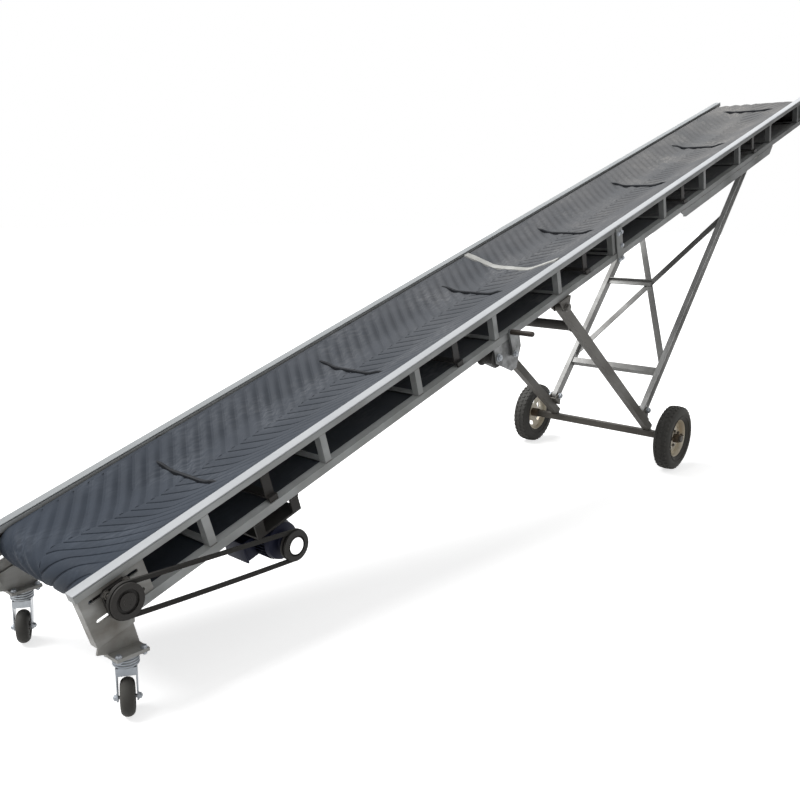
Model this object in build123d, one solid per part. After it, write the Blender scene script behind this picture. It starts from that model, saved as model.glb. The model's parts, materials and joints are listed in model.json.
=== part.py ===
from build123d import *
import os
from math import atan2, cos, degrees, hypot, pi, radians, sin

# A mobile belt conveyor: an inclined ladder frame with a troughed, cleated belt,
# casters under its tail, and a wheeled leg frame that a hand winch folds to set the slope.
# Lengths are in millimetres and angles in degrees. +X runs from tail to head, +Y is the
# left side and +Z is up. Boom coordinates are (s along the belt, y, h above the top edge).

# Driving dimensions of the boom
INCLINE = 17.5
BOOM_LENGTH = 6600
FRAME_WIDTH = 700
FRAME_DEPTH = 182
TOP_FLANGE = 45
TOP_LEG = 30
BOTTOM_FLANGE = 40
BOTTOM_LEG = 32
ANGLE_WALL = 5
BOTTOM_CHORD_START = 175

# Posts: two equal rows, one for each bolted section
POST_FIRST = 507
POST_LAST_INSET = 185
JOINT_GAP = 65
POST_COUNT = 6
POST_WIDTH = 32
POST_LEG = 32
POST_WALL = 4
SPLICE_BACK = 15
SPLICE_FRONT = 52
SPLICE_WALL = 6
SPLICE_DROP = 22

# End plates, drums and bearings
END_PLATE_WALL = 8
END_PLATE_INSET = 8
TAIL_PLATE_LENGTH = 242
TAIL_PLATE_DROP = 35
TAIL_FOOT_LENGTH = 150
TAIL_LIP = 40
HEAD_PLATE_LENGTH = 154
TAIL_AXIS = 130
HEAD_AXIS_INSET = 85
DRUM_HEIGHT = -92
DRUM_RADIUS = 65
DRUM_SIDE_ROOM = 40
SHAFT_RADIUS = 15
SHAFT_OVERHANG = 4
BEARING_SIZE = 100
BEARING_CORNER = 14
BEARING_FLANGE = 14
BEARING_BOSS_RADIUS = 32
BEARING_DEPTH = 32
SLOT_WIDTH = 14
SLOT_TRAVEL = 170
SLOT_SPACING = 74
CHUTE_HOLE_RADIUS = 7
CHUTE_HOLE_INSET = 12
CHUTE_HOLE_HEIGHTS = (-60, -125)

# Belt: its cleats start at a share of their pitch from the tail drum's axis
BELT_WALL = 7
BELT_SIDE_ROOM = 50
BELT_EDGE_HEIGHT = -10
TROUGH_ANGLE = 20
TROUGH_WING = 160
TROUGH_KNEE = 30
TRANSITION = 400
CLEAT_COUNT = 14
CLEAT_START_SHARE = 0.595
CLEAT_SIDE_ROOM = 155
CLEAT_HEIGHT = 14
CLEAT_ROOT = 3
CLEAT_WIDTH = 14
STRIP_PITCHES_SHARE = 2.39
STRIP_WIDTH = 45
STRIP_WALL = 2

# Idlers
ROLL_RADIUS = 21
ROLL_GAP = 0.3
ROLL_END_GAP = 8
WING_ROLL_OVERRUN = 5
SHAFT_FLAT = 10
LUG_WALL = 6
IDLER_BAR_WIDTH = 40
IDLER_BAR_WALL = 6
RETURN_RADIUS = 12
RETURN_LENGTH = 84
RETURN_SIDE_ROOM = 54

# Drive
PULLEY_OUTSET = 42
PULLEY_FACE = 26
GROOVE_WIDTH = 11
GROOVE_DEPTH = 12
DRIVEN_RADIUS = 60
MOTOR_PULLEY_RADIUS = 59
DRIVE_BELT_PROUD = 1
MOTOR_S = 795
MOTOR_DROP = 330
MOTOR_RADIUS = 78
MOTOR_INSET = 5
MOTOR_LENGTH = 295
MOTOR_CHAMFER = 10
MOTOR_FOOT_HALF = 62
MOTOR_SHAFT_RADIUS = 14
MOTOR_BOX = (50, 120, 90)
MOUNT_HEIGHT = 68
MOUNT_WALL = 8
MOUNT_LENGTH = 220
MOUNT_BAR = 40

# Winch
WINCH_SHARE = 0.354
WINCH_BEHIND = 115
WINCH_AHEAD = 100
WINCH_SHOULDER = 75
WINCH_TOE = 40
WINCH_DEPTH = 165
WINCH_WIDTH = 100
WINCH_WALL = 6
WINCH_DRUM_BACK = 90
WINCH_DRUM_DROP = 54
WINCH_DRUM_RADIUS = 47
CRANK_DROP = 80
CRANK_AHEAD = 20
CRANK_LENGTH = 118
CRANK_ANGLE = 96
CRANK_WIDTH = 26
CRANK_WALL = 10
CRANK_GAP = 8
GRIP_LENGTH = 122
GRIP_RADIUS = 13

# Undercarriage
WHEEL_RADIUS = 200
TYRE_WIDTH = 100
RIM_RADIUS = 128
RIM_WALL = 10
BEAD_HALF = 31
DISC_FACE = 12
TREAD_HALF = 34
SHOULDER_DROP = 14
WHEEL_OUTSET = 150
AXLE_SHARE = 0.6045
AXLE_BEAM = 40
AXLE_RADIUS = 15
AXLE_NUT_RADIUS = 22
AXLE_NUT_WIDTH = 13
HUB_RADIUS = 34
HUB_HALF = 46
HUB_GAP = 1
LEG_PIVOT_SHARE = 0.4335
LEG_PIVOT_DROP = 47
PIN_RADIUS = 10
RUNNING_FIT = 0.05
FRONT_LEG_DEPTH = 50
LEG_FOOT_UP = 40
FRONT_LEG_WIDTH = 40
FRONT_TUBE_RADIUS = 26
FRONT_TUBE_PLACE = 200
BRACKET_WALL = 7
SIDE_GAP = 6
REAR_PIVOT_BACK = 99
REAR_PIVOT_OVER = 70
REAR_LUG_REACH = 45
SLIDER_SHARE = 0.825
SLIDER_DROP = 29
ROLLER_RADIUS = 10
ROLLER_GAP = 2
TRACK_LENGTH = 1570
TRACK_AHEAD = 418
TRACK_LAP = 4
TRACK_TAPER = 60
TRACK_WALL = 6
REAR_LEG_DEPTH = 56
REAR_LEG_WIDTH = 32
REAR_LEG_INSET = 22
REAR_LEG_WALL = 5
REAR_LEG_NECK = 25
REAR_EYE_RADIUS = 16
REAR_BAR_SIZE = 40
LOWER_BAR_PLACE = 283
BRACE_LOW = 375
BRACE_HIGH = 1545
BRACE_WIDTH = 40
BRACE_WALL = 6

# Casters
CASTER_X = 165
CASTER_INSET = 4
CASTER_RADIUS = 62.5
CASTER_WIDTH = 46
CASTER_AXLE_RADIUS = 6
CASTER_TRAIL = 30
CASTER_SWIVEL = 56
CASTER_PLATE = (118, 96, 12)
CASTER_CUP_RADIUS = 40
CASTER_CUP_HEIGHT = 38
CASTER_CROWN = 34
CASTER_CROWN_GAP = 12
CASTER_CROWN_HEIGHT = 27.7
TAIL_FOOT_GAP = 35
KINGPIN_RADIUS = 8
FORK_GAP = 6
FORK_WALL = 4
FORK_TOE = 16

# Worked-out sizes and places
HALF_WIDTH = FRAME_WIDTH / 2
CHORD_FACE = HALF_WIDTH - ANGLE_WALL
BOTTOM_SEAT = -FRAME_DEPTH + BOTTOM_LEG
SIN_I = sin(radians(INCLINE))
COS_I = cos(radians(INCLINE))
OVERALL_LENGTH = BOOM_LENGTH * COS_I + FRAME_DEPTH * SIN_I
CROWN_LOW = 2 * CASTER_RADIUS + CASTER_CROWN_GAP
CUP_LOW = CROWN_LOW + CASTER_CROWN_HEIGHT + ROLL_GAP
CASTER_SEAT_HEIGHT = CUP_LOW + CASTER_CUP_HEIGHT + CASTER_PLATE[2]
TAIL_FOOT_DEPTH = FRAME_DEPTH - ANGLE_WALL + TAIL_PLATE_DROP
TAIL_FOOT_RISE = END_PLATE_INSET * SIN_I - TAIL_FOOT_DEPTH * COS_I
TAIL_HEIGHT = CASTER_SEAT_HEIGHT + TAIL_FOOT_GAP - TAIL_FOOT_RISE
POST_PITCH = (BOOM_LENGTH - POST_FIRST - POST_LAST_INSET - JOINT_GAP) / (2 * (POST_COUNT - 1))
POST_ROWS = (POST_FIRST, BOOM_LENGTH - POST_LAST_INSET - POST_PITCH * (POST_COUNT - 1))
POSTS = [start + POST_PITCH * i for start in POST_ROWS for i in range(POST_COUNT)]
BAYS = [start + POST_PITCH * (i + 0.5) for start in POST_ROWS for i in range(POST_COUNT - 1)]
SECTION_JOINT = (POSTS[POST_COUNT - 1] + POSTS[POST_COUNT]) / 2
HEAD_AXIS = BOOM_LENGTH - HEAD_AXIS_INSET
BELT_RADIUS = DRUM_RADIUS + BELT_WALL
BELT_HALF = HALF_WIDTH - BELT_SIDE_ROOM
TROUGH_FLAT = BELT_HALF - TROUGH_WING - 2 * TROUGH_KNEE
RETURN_TOP = DRUM_HEIGHT - DRUM_RADIUS
RETURN_BOTTOM = DRUM_HEIGHT - BELT_RADIUS
RUN_LENGTH = HEAD_AXIS - TAIL_AXIS
WRAP_LENGTH = pi * (DRUM_RADIUS + BELT_WALL / 2)
CLEAT_PITCH = 2 * (RUN_LENGTH + WRAP_LENGTH) / CLEAT_COUNT
STRIP_PLACE = TAIL_AXIS + (CLEAT_START_SHARE + STRIP_PITCHES_SHARE) * CLEAT_PITCH
PULLEY_PLANE = -HALF_WIDTH - PULLEY_OUTSET
PULLEY_FRONT = PULLEY_PLANE - PULLEY_FACE / 2
MOTOR_NEAR = -HALF_WIDTH + MOTOR_INSET
MOTOR_FAR = MOTOR_NEAR + MOTOR_LENGTH
WINCH_S = WINCH_SHARE * BOOM_LENGTH
WINCH_OUTER = -HALF_WIDTH
WINCH_INNER = WINCH_OUTER + WINCH_WIDTH
WHEEL_GAUGE = FRAME_WIDTH + 2 * WHEEL_OUTSET
AXLE_X = AXLE_SHARE * BOOM_LENGTH
LEG_PIVOT_S = LEG_PIVOT_SHARE * BOOM_LENGTH
SLIDER_S = SLIDER_SHARE * BOOM_LENGTH
TRACK_ROOM = SLIDER_DROP + ROLLER_RADIUS + ROLLER_GAP
TRACK_END = SLIDER_S + TRACK_AHEAD
TRACK_START = TRACK_END - TRACK_LENGTH
REAR_LEG_OUTER = HALF_WIDTH - REAR_LEG_INSET
CASTER_GAUGE = FRAME_WIDTH - 2 * CASTER_INSET
SIDES = {"left": 1, "right": -1}

boom_place = Location((-OVERALL_LENGTH / 2, 0, TAIL_HEIGHT), (0, -INCLINE, 0))
ground_place = Location((-OVERALL_LENGTH / 2, 0, 0))


def boom_point(s, h):
    """Side-view place (x from the tail, z from the floor) of a point of the boom."""
    return s * COS_I - h * SIN_I, TAIL_HEIGHT + s * SIN_I + h * COS_I


LEG_PIVOT = boom_point(LEG_PIVOT_S, -FRAME_DEPTH - LEG_PIVOT_DROP)
LEG_RUN = (AXLE_X - LEG_PIVOT[0], WHEEL_RADIUS + LEG_FOOT_UP - LEG_PIVOT[1])
LEG_LENGTH = hypot(*LEG_RUN)
SLIDER = boom_point(SLIDER_S, -FRAME_DEPTH - SLIDER_DROP)


def leg_point(along, over):
    """Side-view place of a point along the front leg from its top pin, and over its middle line."""
    run_x, run_z = LEG_RUN[0] / LEG_LENGTH, LEG_RUN[1] / LEG_LENGTH
    return LEG_PIVOT[0] + along * run_x - over * run_z, LEG_PIVOT[1] + along * run_z + over * run_x


REAR_PIVOT = leg_point(LEG_LENGTH - REAR_PIVOT_BACK, REAR_PIVOT_OVER)


def bar(x, y, z):
    """Box between two corners, each axis given as a (low, high) pair."""
    middle = [(low + high) / 2 for low, high in (x, y, z)]
    size = [high - low for low, high in (x, y, z)]
    return Pos(*middle) * Box(*size)


def rod(radius, y, x=0, z=0):
    """Cylinder along Y between a (low, high) pair."""
    return Pos(x, (y[0] + y[1]) / 2, z) * Rot(90, 0, 0) * Cylinder(radius, y[1] - y[0])


def side_plate(points, y):
    """Outline in the side view, as thick as the (low, high) pair along Y."""
    face = make_face(Polyline(*points, close=True))
    return Pos(0, y[1], 0) * Rot(90, 0, 0) * extrude(face, y[1] - y[0])


def section_bar(points, start, end):
    """Cross-section of (y, h) points, run along X from start to end."""
    face = Plane.YZ.offset(start) * make_face(Polyline(*points, close=True))
    return extrude(face, end - start, dir=(1, 0, 0))


def spun(points, y=0):
    """Outline of (radius, y) points turned about the Y axis."""
    face = make_face(Polyline(*points, close=True))
    return Pos(0, y, 0) * revolve(face, Axis.Y)


def both_sides(name, left):
    """The left piece and its mirror image, as two nodes."""
    return {name + "_left": left, name + "_right": mirror(left, about=Plane.XZ)}


def pair(left):
    """The left piece and its mirror image, as two solids of one node."""
    return [left, mirror(left, about=Plane.XZ)]


def placed(place, nodes):
    """Moves each node's shape, or list of shapes, from its own coordinates to the part's."""
    moved = {}
    for name, shape in nodes.items():
        shapes = shape if isinstance(shape, list) else [shape]
        solids = [solid for one in shapes for solid in (place * one).solids()]
        moved[name] = solids[0] if len(solids) == 1 else Compound(children=solids)
    return moved


def angle_profile(flange, leg, top):
    """Angle-steel section: its flange on top points inwards, its leg hangs at the frame's outer face."""
    return [
        (HALF_WIDTH, top),
        (HALF_WIDTH, top - leg),
        (CHORD_FACE, top - leg),
        (CHORD_FACE, top - ANGLE_WALL),
        (HALF_WIDTH - flange, top - ANGLE_WALL),
        (HALF_WIDTH - flange, top),
    ]


def slot(s, h, travel, width, y):
    """Round-ended slot along the boom, cut right through a plate."""
    face = SlotCenterToCenter(travel, width)
    return Pos(s, y[1] + 1, h) * Rot(90, 0, 0) * extrude(face, y[1] - y[0] + 2)


def end_plate(points, axis_s):
    """Side plate with its shaft slot and the two slots of the sliding bearing."""
    y = (CHORD_FACE - END_PLATE_WALL, CHORD_FACE)
    plate = side_plate(points, y)
    plate -= rod(SHAFT_RADIUS + SLOT_WIDTH, (y[0] - 1, y[1] + 1), axis_s, DRUM_HEIGHT)
    return plate, y


def frame_nodes():
    """Chords, posts, cross bars, end plates and the plates of the section joint."""
    top = angle_profile(TOP_FLANGE, TOP_LEG, 0)
    bottom = angle_profile(BOTTOM_FLANGE, BOTTOM_LEG, BOTTOM_SEAT)
    nodes = {
        "top_chords": pair(section_bar(top, 0, BOOM_LENGTH)),
        "bottom_chords": pair(section_bar(bottom, BOTTOM_CHORD_START, BOOM_LENGTH)),
    }

    post_h = (BOTTOM_SEAT, -ANGLE_WALL)
    bar_half = CHORD_FACE - POST_WALL
    bar_h = (BOTTOM_SEAT, BOTTOM_SEAT + ANGLE_WALL)
    posts = []
    bars = []
    for s in POSTS:
        span = (s - POST_WIDTH / 2, s + POST_WIDTH / 2)
        post = bar(span, (CHORD_FACE - POST_WALL, CHORD_FACE), post_h)
        post += bar((span[0], span[0] + POST_WALL), (CHORD_FACE - POST_LEG, CHORD_FACE), post_h)
        posts += pair(post)
        bars.append(bar((span[0] + POST_WALL, span[1]), (-bar_half, bar_half), bar_h))
    nodes["posts"] = posts
    nodes["cross_bars"] = bars

    tail_end = END_PLATE_INSET + TAIL_PLATE_LENGTH
    foot = -TAIL_FOOT_DEPTH
    tail, y = end_plate(
        [
            (END_PLATE_INSET, -ANGLE_WALL),
            (tail_end, -ANGLE_WALL),
            (tail_end, BOTTOM_SEAT),
            (BOTTOM_CHORD_START - ANGLE_WALL, BOTTOM_SEAT),
            (TAIL_FOOT_LENGTH, foot),
            (END_PLATE_INSET, foot),
        ],
        TAIL_AXIS,
    )
    for turn in (-1, 1):
        tail -= slot(TAIL_AXIS, DRUM_HEIGHT + turn * SLOT_SPACING / 2, SLOT_TRAVEL, SLOT_WIDTH, y)
    lip = (END_PLATE_INSET, END_PLATE_INSET + END_PLATE_WALL)
    tail += bar(lip, (CHORD_FACE - TAIL_LIP, CHORD_FACE), (foot, -ANGLE_WALL))
    nodes["tail_plates"] = pair(tail)

    head_end = BOOM_LENGTH - END_PLATE_INSET
    head_start = head_end - HEAD_PLATE_LENGTH
    head, y = end_plate(
        [
            (head_start, -ANGLE_WALL),
            (head_end, -ANGLE_WALL),
            (head_end, BOTTOM_SEAT),
            (head_start, BOTTOM_SEAT),
        ],
        HEAD_AXIS,
    )
    for height in CHUTE_HOLE_HEIGHTS:
        head -= rod(CHUTE_HOLE_RADIUS, (y[0] - 1, y[1] + 1), head_end - CHUTE_HOLE_INSET, height)
    nodes["head_plates"] = pair(head)

    splice = bar(
        (SECTION_JOINT - SPLICE_BACK, SECTION_JOINT + SPLICE_FRONT),
        (HALF_WIDTH, HALF_WIDTH + SPLICE_WALL),
        (-FRAME_DEPTH - SPLICE_DROP, -TOP_LEG / 2),
    )
    nodes["splice_plates"] = pair(splice)
    return nodes


def belt_line(share):
    """Upper face of half a belt section: (y, rise) points, flat at 0 and fully troughed at 1."""
    points = [(TROUGH_FLAT, 0)]
    steps = ((TROUGH_KNEE, 1 / 3), (TROUGH_KNEE, 2 / 3), (TROUGH_WING, 1))
    for length, part in steps:
        angle = radians(TROUGH_ANGLE * part * share)
        y, rise = points[-1]
        points.append((y + length * cos(angle), rise + length * sin(angle)))
    return points


def full_line(half, height):
    """Both halves of a belt line, from the right edge to the left, lifted to a height."""
    right = [(-y, height + rise) for y, rise in reversed(half)]
    return right + [(y, height + rise) for y, rise in half]


def clipped(half, limit):
    """The part of half a belt line that lies within limit of the middle."""
    kept = [point for point in half if point[0] < limit]
    (y0, h0), (y1, h1) = kept[-1], half[len(kept)]
    return kept + [(limit, h0 + (h1 - h0) * (limit - y0) / (y1 - y0))]


def ribbon(line, wall):
    """Closed section between a belt line and the same line moved by wall."""
    return line + [(y, h + wall) for y, h in reversed(line)]


TROUGH = belt_line(1)
TROUGH_BASE = BELT_EDGE_HEIGHT - TROUGH[-1][1]


def upper_face(s):
    """Upper face of half the belt at a place along the boom: flat on the drums, troughed between."""
    share = min(1, (s - TAIL_AXIS) / TRANSITION, (HEAD_AXIS - s) / TRANSITION)
    points = []
    for (flat_y, _), (deep_y, rise) in zip(belt_line(0), TROUGH):
        flat_h = DRUM_HEIGHT + BELT_RADIUS
        deep_h = TROUGH_BASE + rise
        points.append((flat_y + share * (deep_y - flat_y), flat_h + share * (deep_h - flat_h)))
    return points


def belt_nodes():
    """The endless belt with its cleats, and the pale strip over its joint."""
    flat = ribbon(full_line(upper_face(TAIL_AXIS), 0), -BELT_WALL)
    deep = ribbon(full_line(upper_face(STRIP_PLACE), 0), -BELT_WALL)

    def section(points, s):
        return Plane.YZ.offset(s) * make_face(Polyline(*points, close=True))

    def wrap(axis_s, side):
        ring = rod(BELT_RADIUS, (-BELT_HALF, BELT_HALF), axis_s, DRUM_HEIGHT)
        ring -= rod(DRUM_RADIUS, (-BELT_HALF, BELT_HALF), axis_s, DRUM_HEIGHT)
        span = sorted((axis_s, axis_s + side * 2 * BELT_RADIUS))
        room = (DRUM_HEIGHT - 2 * BELT_RADIUS, DRUM_HEIGHT + 2 * BELT_RADIUS)
        return ring & bar(span, (-BELT_HALF - 1, BELT_HALF + 1), room)

    belt = section_bar(deep, TAIL_AXIS + TRANSITION, HEAD_AXIS - TRANSITION)
    belt += loft([section(flat, TAIL_AXIS), section(deep, TAIL_AXIS + TRANSITION)], ruled=True)
    belt += loft([section(deep, HEAD_AXIS - TRANSITION), section(flat, HEAD_AXIS)], ruled=True)
    belt += wrap(TAIL_AXIS, -1)
    belt += wrap(HEAD_AXIS, 1)
    belt += bar((TAIL_AXIS, HEAD_AXIS), (-BELT_HALF, BELT_HALF), (RETURN_BOTTOM, RETURN_TOP))

    cleat_half = HALF_WIDTH - CLEAT_SIDE_ROOM
    for index in range(CLEAT_COUNT):
        travel = (CLEAT_START_SHARE + index) * CLEAT_PITCH
        if travel < RUN_LENGTH:
            s = TAIL_AXIS + travel
            line = full_line(clipped(upper_face(s), cleat_half), -CLEAT_ROOT)
            cleat = ribbon(line, CLEAT_ROOT + CLEAT_HEIGHT)
            belt += section_bar(cleat, s - CLEAT_WIDTH / 2, s + CLEAT_WIDTH / 2)
        else:
            s = HEAD_AXIS - (travel - RUN_LENGTH - WRAP_LENGTH)
            belt += bar(
                (s - CLEAT_WIDTH / 2, s + CLEAT_WIDTH / 2),
                (-cleat_half, cleat_half),
                (RETURN_BOTTOM - CLEAT_HEIGHT, RETURN_BOTTOM),
            )

    strip = ribbon(full_line(upper_face(STRIP_PLACE), 0), STRIP_WALL)
    strip_span = (STRIP_PLACE - STRIP_WIDTH / 2, STRIP_PLACE + STRIP_WIDTH / 2)
    return {"belt": belt, "belt_joint_strip": section_bar(strip, *strip_span)}


def drum_nodes():
    """Tail and head drums on their shafts, and the flange bearings that carry them."""
    face = HALF_WIDTH - DRUM_SIDE_ROOM
    boss_end = CHORD_FACE + BEARING_DEPTH
    shaft_end = boss_end + SHAFT_OVERHANG
    size = BEARING_SIZE / 2
    nodes = {"drum_bearings": []}
    for name, s, near_end in (("tail", TAIL_AXIS, PULLEY_FRONT), ("head", HEAD_AXIS, -shaft_end)):
        drum = rod(DRUM_RADIUS - ROLL_GAP, (-face, face), s, DRUM_HEIGHT)
        drum += rod(SHAFT_RADIUS, (near_end, shaft_end), s, DRUM_HEIGHT)
        nodes[name + "_drum"] = drum

        flange = (CHORD_FACE, CHORD_FACE + BEARING_FLANGE)
        block = bar((s - size, s + size), flange, (DRUM_HEIGHT - size, DRUM_HEIGHT + size))
        block = chamfer(block.edges().filter_by(Axis.Y), BEARING_CORNER)
        block += rod(BEARING_BOSS_RADIUS, (CHORD_FACE, boss_end), s, DRUM_HEIGHT)
        block -= rod(SHAFT_RADIUS + RUNNING_FIT, (CHORD_FACE - 1, boss_end + 1), s, DRUM_HEIGHT)
        nodes["drum_bearings"] += pair(block)
    return nodes


def idler_nodes():
    """Three-roll trough idlers in every second bay, and short return rolls under the belt's edges."""
    angle = radians(TROUGH_ANGLE)
    drop = ROLL_RADIUS + ROLL_GAP
    under = TROUGH_BASE - BELT_WALL
    knee_y, knee_rise = TROUGH[-2]
    axis_h = under - drop
    bar_top = axis_h - ROLL_RADIUS - ROLL_END_GAP / 2
    wing_length = TROUGH_WING + WING_ROLL_OVERRUN

    def wing_point(along):
        """Place (y, h) on the wing roll's axis, measured up the wing from the belt's knee."""
        y = knee_y + along * cos(angle) + drop * sin(angle)
        return y, under + knee_rise + along * sin(angle) - drop * cos(angle)

    def roll(length):
        """Roll along Y with flat-sided shaft ends."""
        tail = length / 2 + ROLL_END_GAP + LUG_WALL
        ends = bar((-SHAFT_FLAT / 2, SHAFT_FLAT / 2), (-tail, tail), (-SHAFT_FLAT / 2, SHAFT_FLAT / 2))
        return rod(ROLL_RADIUS, (-length / 2, length / 2)) + ends

    wing_middle = wing_point(ROLL_END_GAP + LUG_WALL + wing_length / 2)
    wing_reach = wing_length / 2 + ROLL_END_GAP + LUG_WALL / 2
    lug_places = (
        (wing_middle[0] - wing_reach * cos(angle), wing_middle[1] - wing_reach * sin(angle)),
        (wing_middle[0] + wing_reach * cos(angle), wing_middle[1] + wing_reach * sin(angle)),
    )
    centre_length = 2 * (lug_places[0][0] - 2 * LUG_WALL - 2 * ROLL_END_GAP)
    centre_lug = (centre_length / 2 + ROLL_END_GAP + LUG_WALL / 2, axis_h)

    frames = []
    rolls = []
    for s in BAYS[0::2]:
        wide = (s - IDLER_BAR_WIDTH / 2, s + IDLER_BAR_WIDTH / 2)
        frame = bar(wide, (-CHORD_FACE, CHORD_FACE), (bar_top - IDLER_BAR_WALL, bar_top))
        for turn in SIDES.values():
            ends = sorted((turn * (CHORD_FACE - LUG_WALL), turn * CHORD_FACE))
            frame += bar(wide, ends, (BOTTOM_SEAT, bar_top))
            for y, h in (centre_lug, *lug_places):
                lug_y = (turn * y - LUG_WALL / 2, turn * y + LUG_WALL / 2)
                lug = bar(wide, lug_y, (bar_top, h + SHAFT_FLAT / 2))
                notch = (s - SHAFT_FLAT / 2 - ROLL_GAP, s + SHAFT_FLAT / 2 + ROLL_GAP)
                seat = h - SHAFT_FLAT / 2 - LUG_WALL / 2 - ROLL_GAP
                frame += lug - bar(notch, (lug_y[0] - 1, lug_y[1] + 1), (seat, h + SHAFT_FLAT))
            wing = Rot(turn * TROUGH_ANGLE, 0, 0) * roll(wing_length)
            rolls.append(Pos(s, turn * wing_middle[0], wing_middle[1]) * wing)
        rolls.append(Pos(s, 0, axis_h) * roll(centre_length))
        frames.append(frame)

    return_h = RETURN_BOTTOM - RETURN_RADIUS - ROLL_GAP
    outer = HALF_WIDTH - RETURN_SIDE_ROOM
    shaft_h = (return_h - SHAFT_FLAT / 2, return_h + SHAFT_FLAT / 2)
    returns = []
    for s in BAYS[1::4]:
        stub = rod(RETURN_RADIUS, (outer - RETURN_LENGTH, outer), s, return_h)
        stub += bar((s - SHAFT_FLAT / 2, s + SHAFT_FLAT / 2), (outer, CHORD_FACE), shaft_h)
        returns += pair(stub)
    return {"idler_frames": frames, "idler_rolls": rolls, "return_rolls": returns}


def pulley(radius, bore):
    """Single-groove pulley centred on the belt plane."""
    half = PULLEY_FACE / 2
    groove = GROOVE_WIDTH / 2
    low = radius - GROOVE_DEPTH
    body = spun(
        [
            (bore, -half),
            (radius, -half),
            (radius, -groove),
            (low, -groove),
            (low, groove),
            (radius, groove),
            (radius, half),
            (bore, half),
        ]
    )
    return Pos(0, PULLEY_PLANE, 0) * body


def drive_nodes():
    """Motor slung under the frame, its mount, and the belt drive to the tail drum."""
    motor_h = -MOTOR_DROP
    belt_half = GROOVE_WIDTH / 2 - ROLL_GAP
    driven = Pos(TAIL_AXIS, 0, DRUM_HEIGHT) * pulley(DRIVEN_RADIUS, SHAFT_RADIUS + RUNNING_FIT)
    driving = Pos(MOTOR_S, 0, motor_h) * pulley(MOTOR_PULLEY_RADIUS, MOTOR_SHAFT_RADIUS + RUNNING_FIT)

    def loop(depth):
        """Outline round both pulleys at a depth below their rims."""
        rings = Pos(TAIL_AXIS, DRUM_HEIGHT) * Circle(DRIVEN_RADIUS - depth)
        rings += Pos(MOTOR_S, motor_h) * Circle(MOTOR_PULLEY_RADIUS - depth)
        return make_hull(rings.edges())

    band = extrude(loop(-DRIVE_BELT_PROUD) - loop(GROOVE_DEPTH - ROLL_GAP), 2 * belt_half)
    band = Pos(0, PULLEY_PLANE + belt_half, 0) * Rot(90, 0, 0) * band

    base_top = -FRAME_DEPTH - MOUNT_HEIGHT + MOUNT_WALL
    base_span = (MOTOR_S - MOUNT_LENGTH / 2, MOTOR_S + MOUNT_LENGTH / 2)
    motor_span = (MOTOR_NEAR, MOTOR_FAR)
    mount = bar(base_span, motor_span, (base_top - MOUNT_WALL, base_top))
    for end in (base_span[0], base_span[1] - MOUNT_BAR):
        span = (end, end + MOUNT_BAR)
        mount += bar(span, (-HALF_WIDTH, HALF_WIDTH), (-FRAME_DEPTH - MOUNT_WALL, -FRAME_DEPTH))
        for y in (MOTOR_NEAR, MOTOR_FAR - MOUNT_WALL):
            mount += bar(span, (y, y + MOUNT_WALL), (base_top, -FRAME_DEPTH))

    foot_top = base_top - MOUNT_WALL
    middle = (MOTOR_NEAR + MOTOR_FAR) / 2
    motor = rod(MOTOR_RADIUS, motor_span, MOTOR_S, motor_h)
    motor = chamfer(motor.edges().filter_by(GeomType.CIRCLE), MOTOR_CHAMFER)
    motor += bar(
        (MOTOR_S - MOTOR_FOOT_HALF, MOTOR_S + MOTOR_FOOT_HALF),
        (middle - MOTOR_RADIUS, middle + MOTOR_RADIUS),
        (motor_h, foot_top),
    )
    box_depth, box_width, box_height = MOTOR_BOX
    motor += bar(
        (MOTOR_S - MOTOR_RADIUS - box_depth, MOTOR_S - MOTOR_FOOT_HALF),
        (middle - box_width / 2, middle + box_width / 2),
        (motor_h - box_height / 2, motor_h + box_height / 2),
    )
    motor += rod(MOTOR_SHAFT_RADIUS, (PULLEY_FRONT, middle), MOTOR_S, motor_h)
    return {
        "drive_pulleys": [driven, driving],
        "drive_belt": band,
        "motor_mount": mount,
        "drive_motor": motor,
    }


def winch_nodes():
    """Hand winch hung under the right bottom chord, with its rope drum and crank."""
    top = -FRAME_DEPTH
    low = top - WINCH_DEPTH
    back = WINCH_S - WINCH_BEHIND
    front = WINCH_S + WINCH_AHEAD
    outside = (WINCH_OUTER - 1, WINCH_INNER + 1)
    drum_at = (WINCH_S - WINCH_DRUM_BACK, top - WINCH_DRUM_DROP)
    crank_at = (WINCH_S + CRANK_AHEAD, top - CRANK_DROP)
    frame = bar((back, front), (WINCH_OUTER, WINCH_INNER), (top - WINCH_WALL, top))
    cheek = [
        (back, top),
        (front, top),
        (front, top - WINCH_SHOULDER),
        (WINCH_S + WINCH_TOE, low),
        (WINCH_S, low),
        (back, top - WINCH_SHOULDER),
    ]
    for y in (WINCH_OUTER, WINCH_INNER - WINCH_WALL):
        frame += side_plate(cheek, (y, y + WINCH_WALL))
    for s, h in (drum_at, crank_at):
        frame -= rod(PIN_RADIUS + RUNNING_FIT, outside, s, h)

    inner = (WINCH_OUTER + WINCH_WALL + 1, WINCH_INNER - WINCH_WALL - 1)
    drum = rod(WINCH_DRUM_RADIUS, inner, *drum_at)
    drum += rod(PIN_RADIUS, (WINCH_OUTER, WINCH_INNER), *drum_at)

    half = CRANK_WIDTH / 2
    arm_y = (WINCH_OUTER - CRANK_GAP - CRANK_WALL, WINCH_OUTER - CRANK_GAP)
    crank = bar((-half, CRANK_LENGTH + half), arm_y, (-half, half))
    crank += rod(PIN_RADIUS, (arm_y[0], WINCH_INNER))
    crank += rod(GRIP_RADIUS, (arm_y[0] - GRIP_LENGTH, arm_y[0]), CRANK_LENGTH)
    crank = Pos(crank_at[0], 0, crank_at[1]) * Rot(0, -CRANK_ANGLE, 0) * crank
    return {"winch_frame": frame, "winch_drum": drum, "winch_crank": crank}


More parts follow.
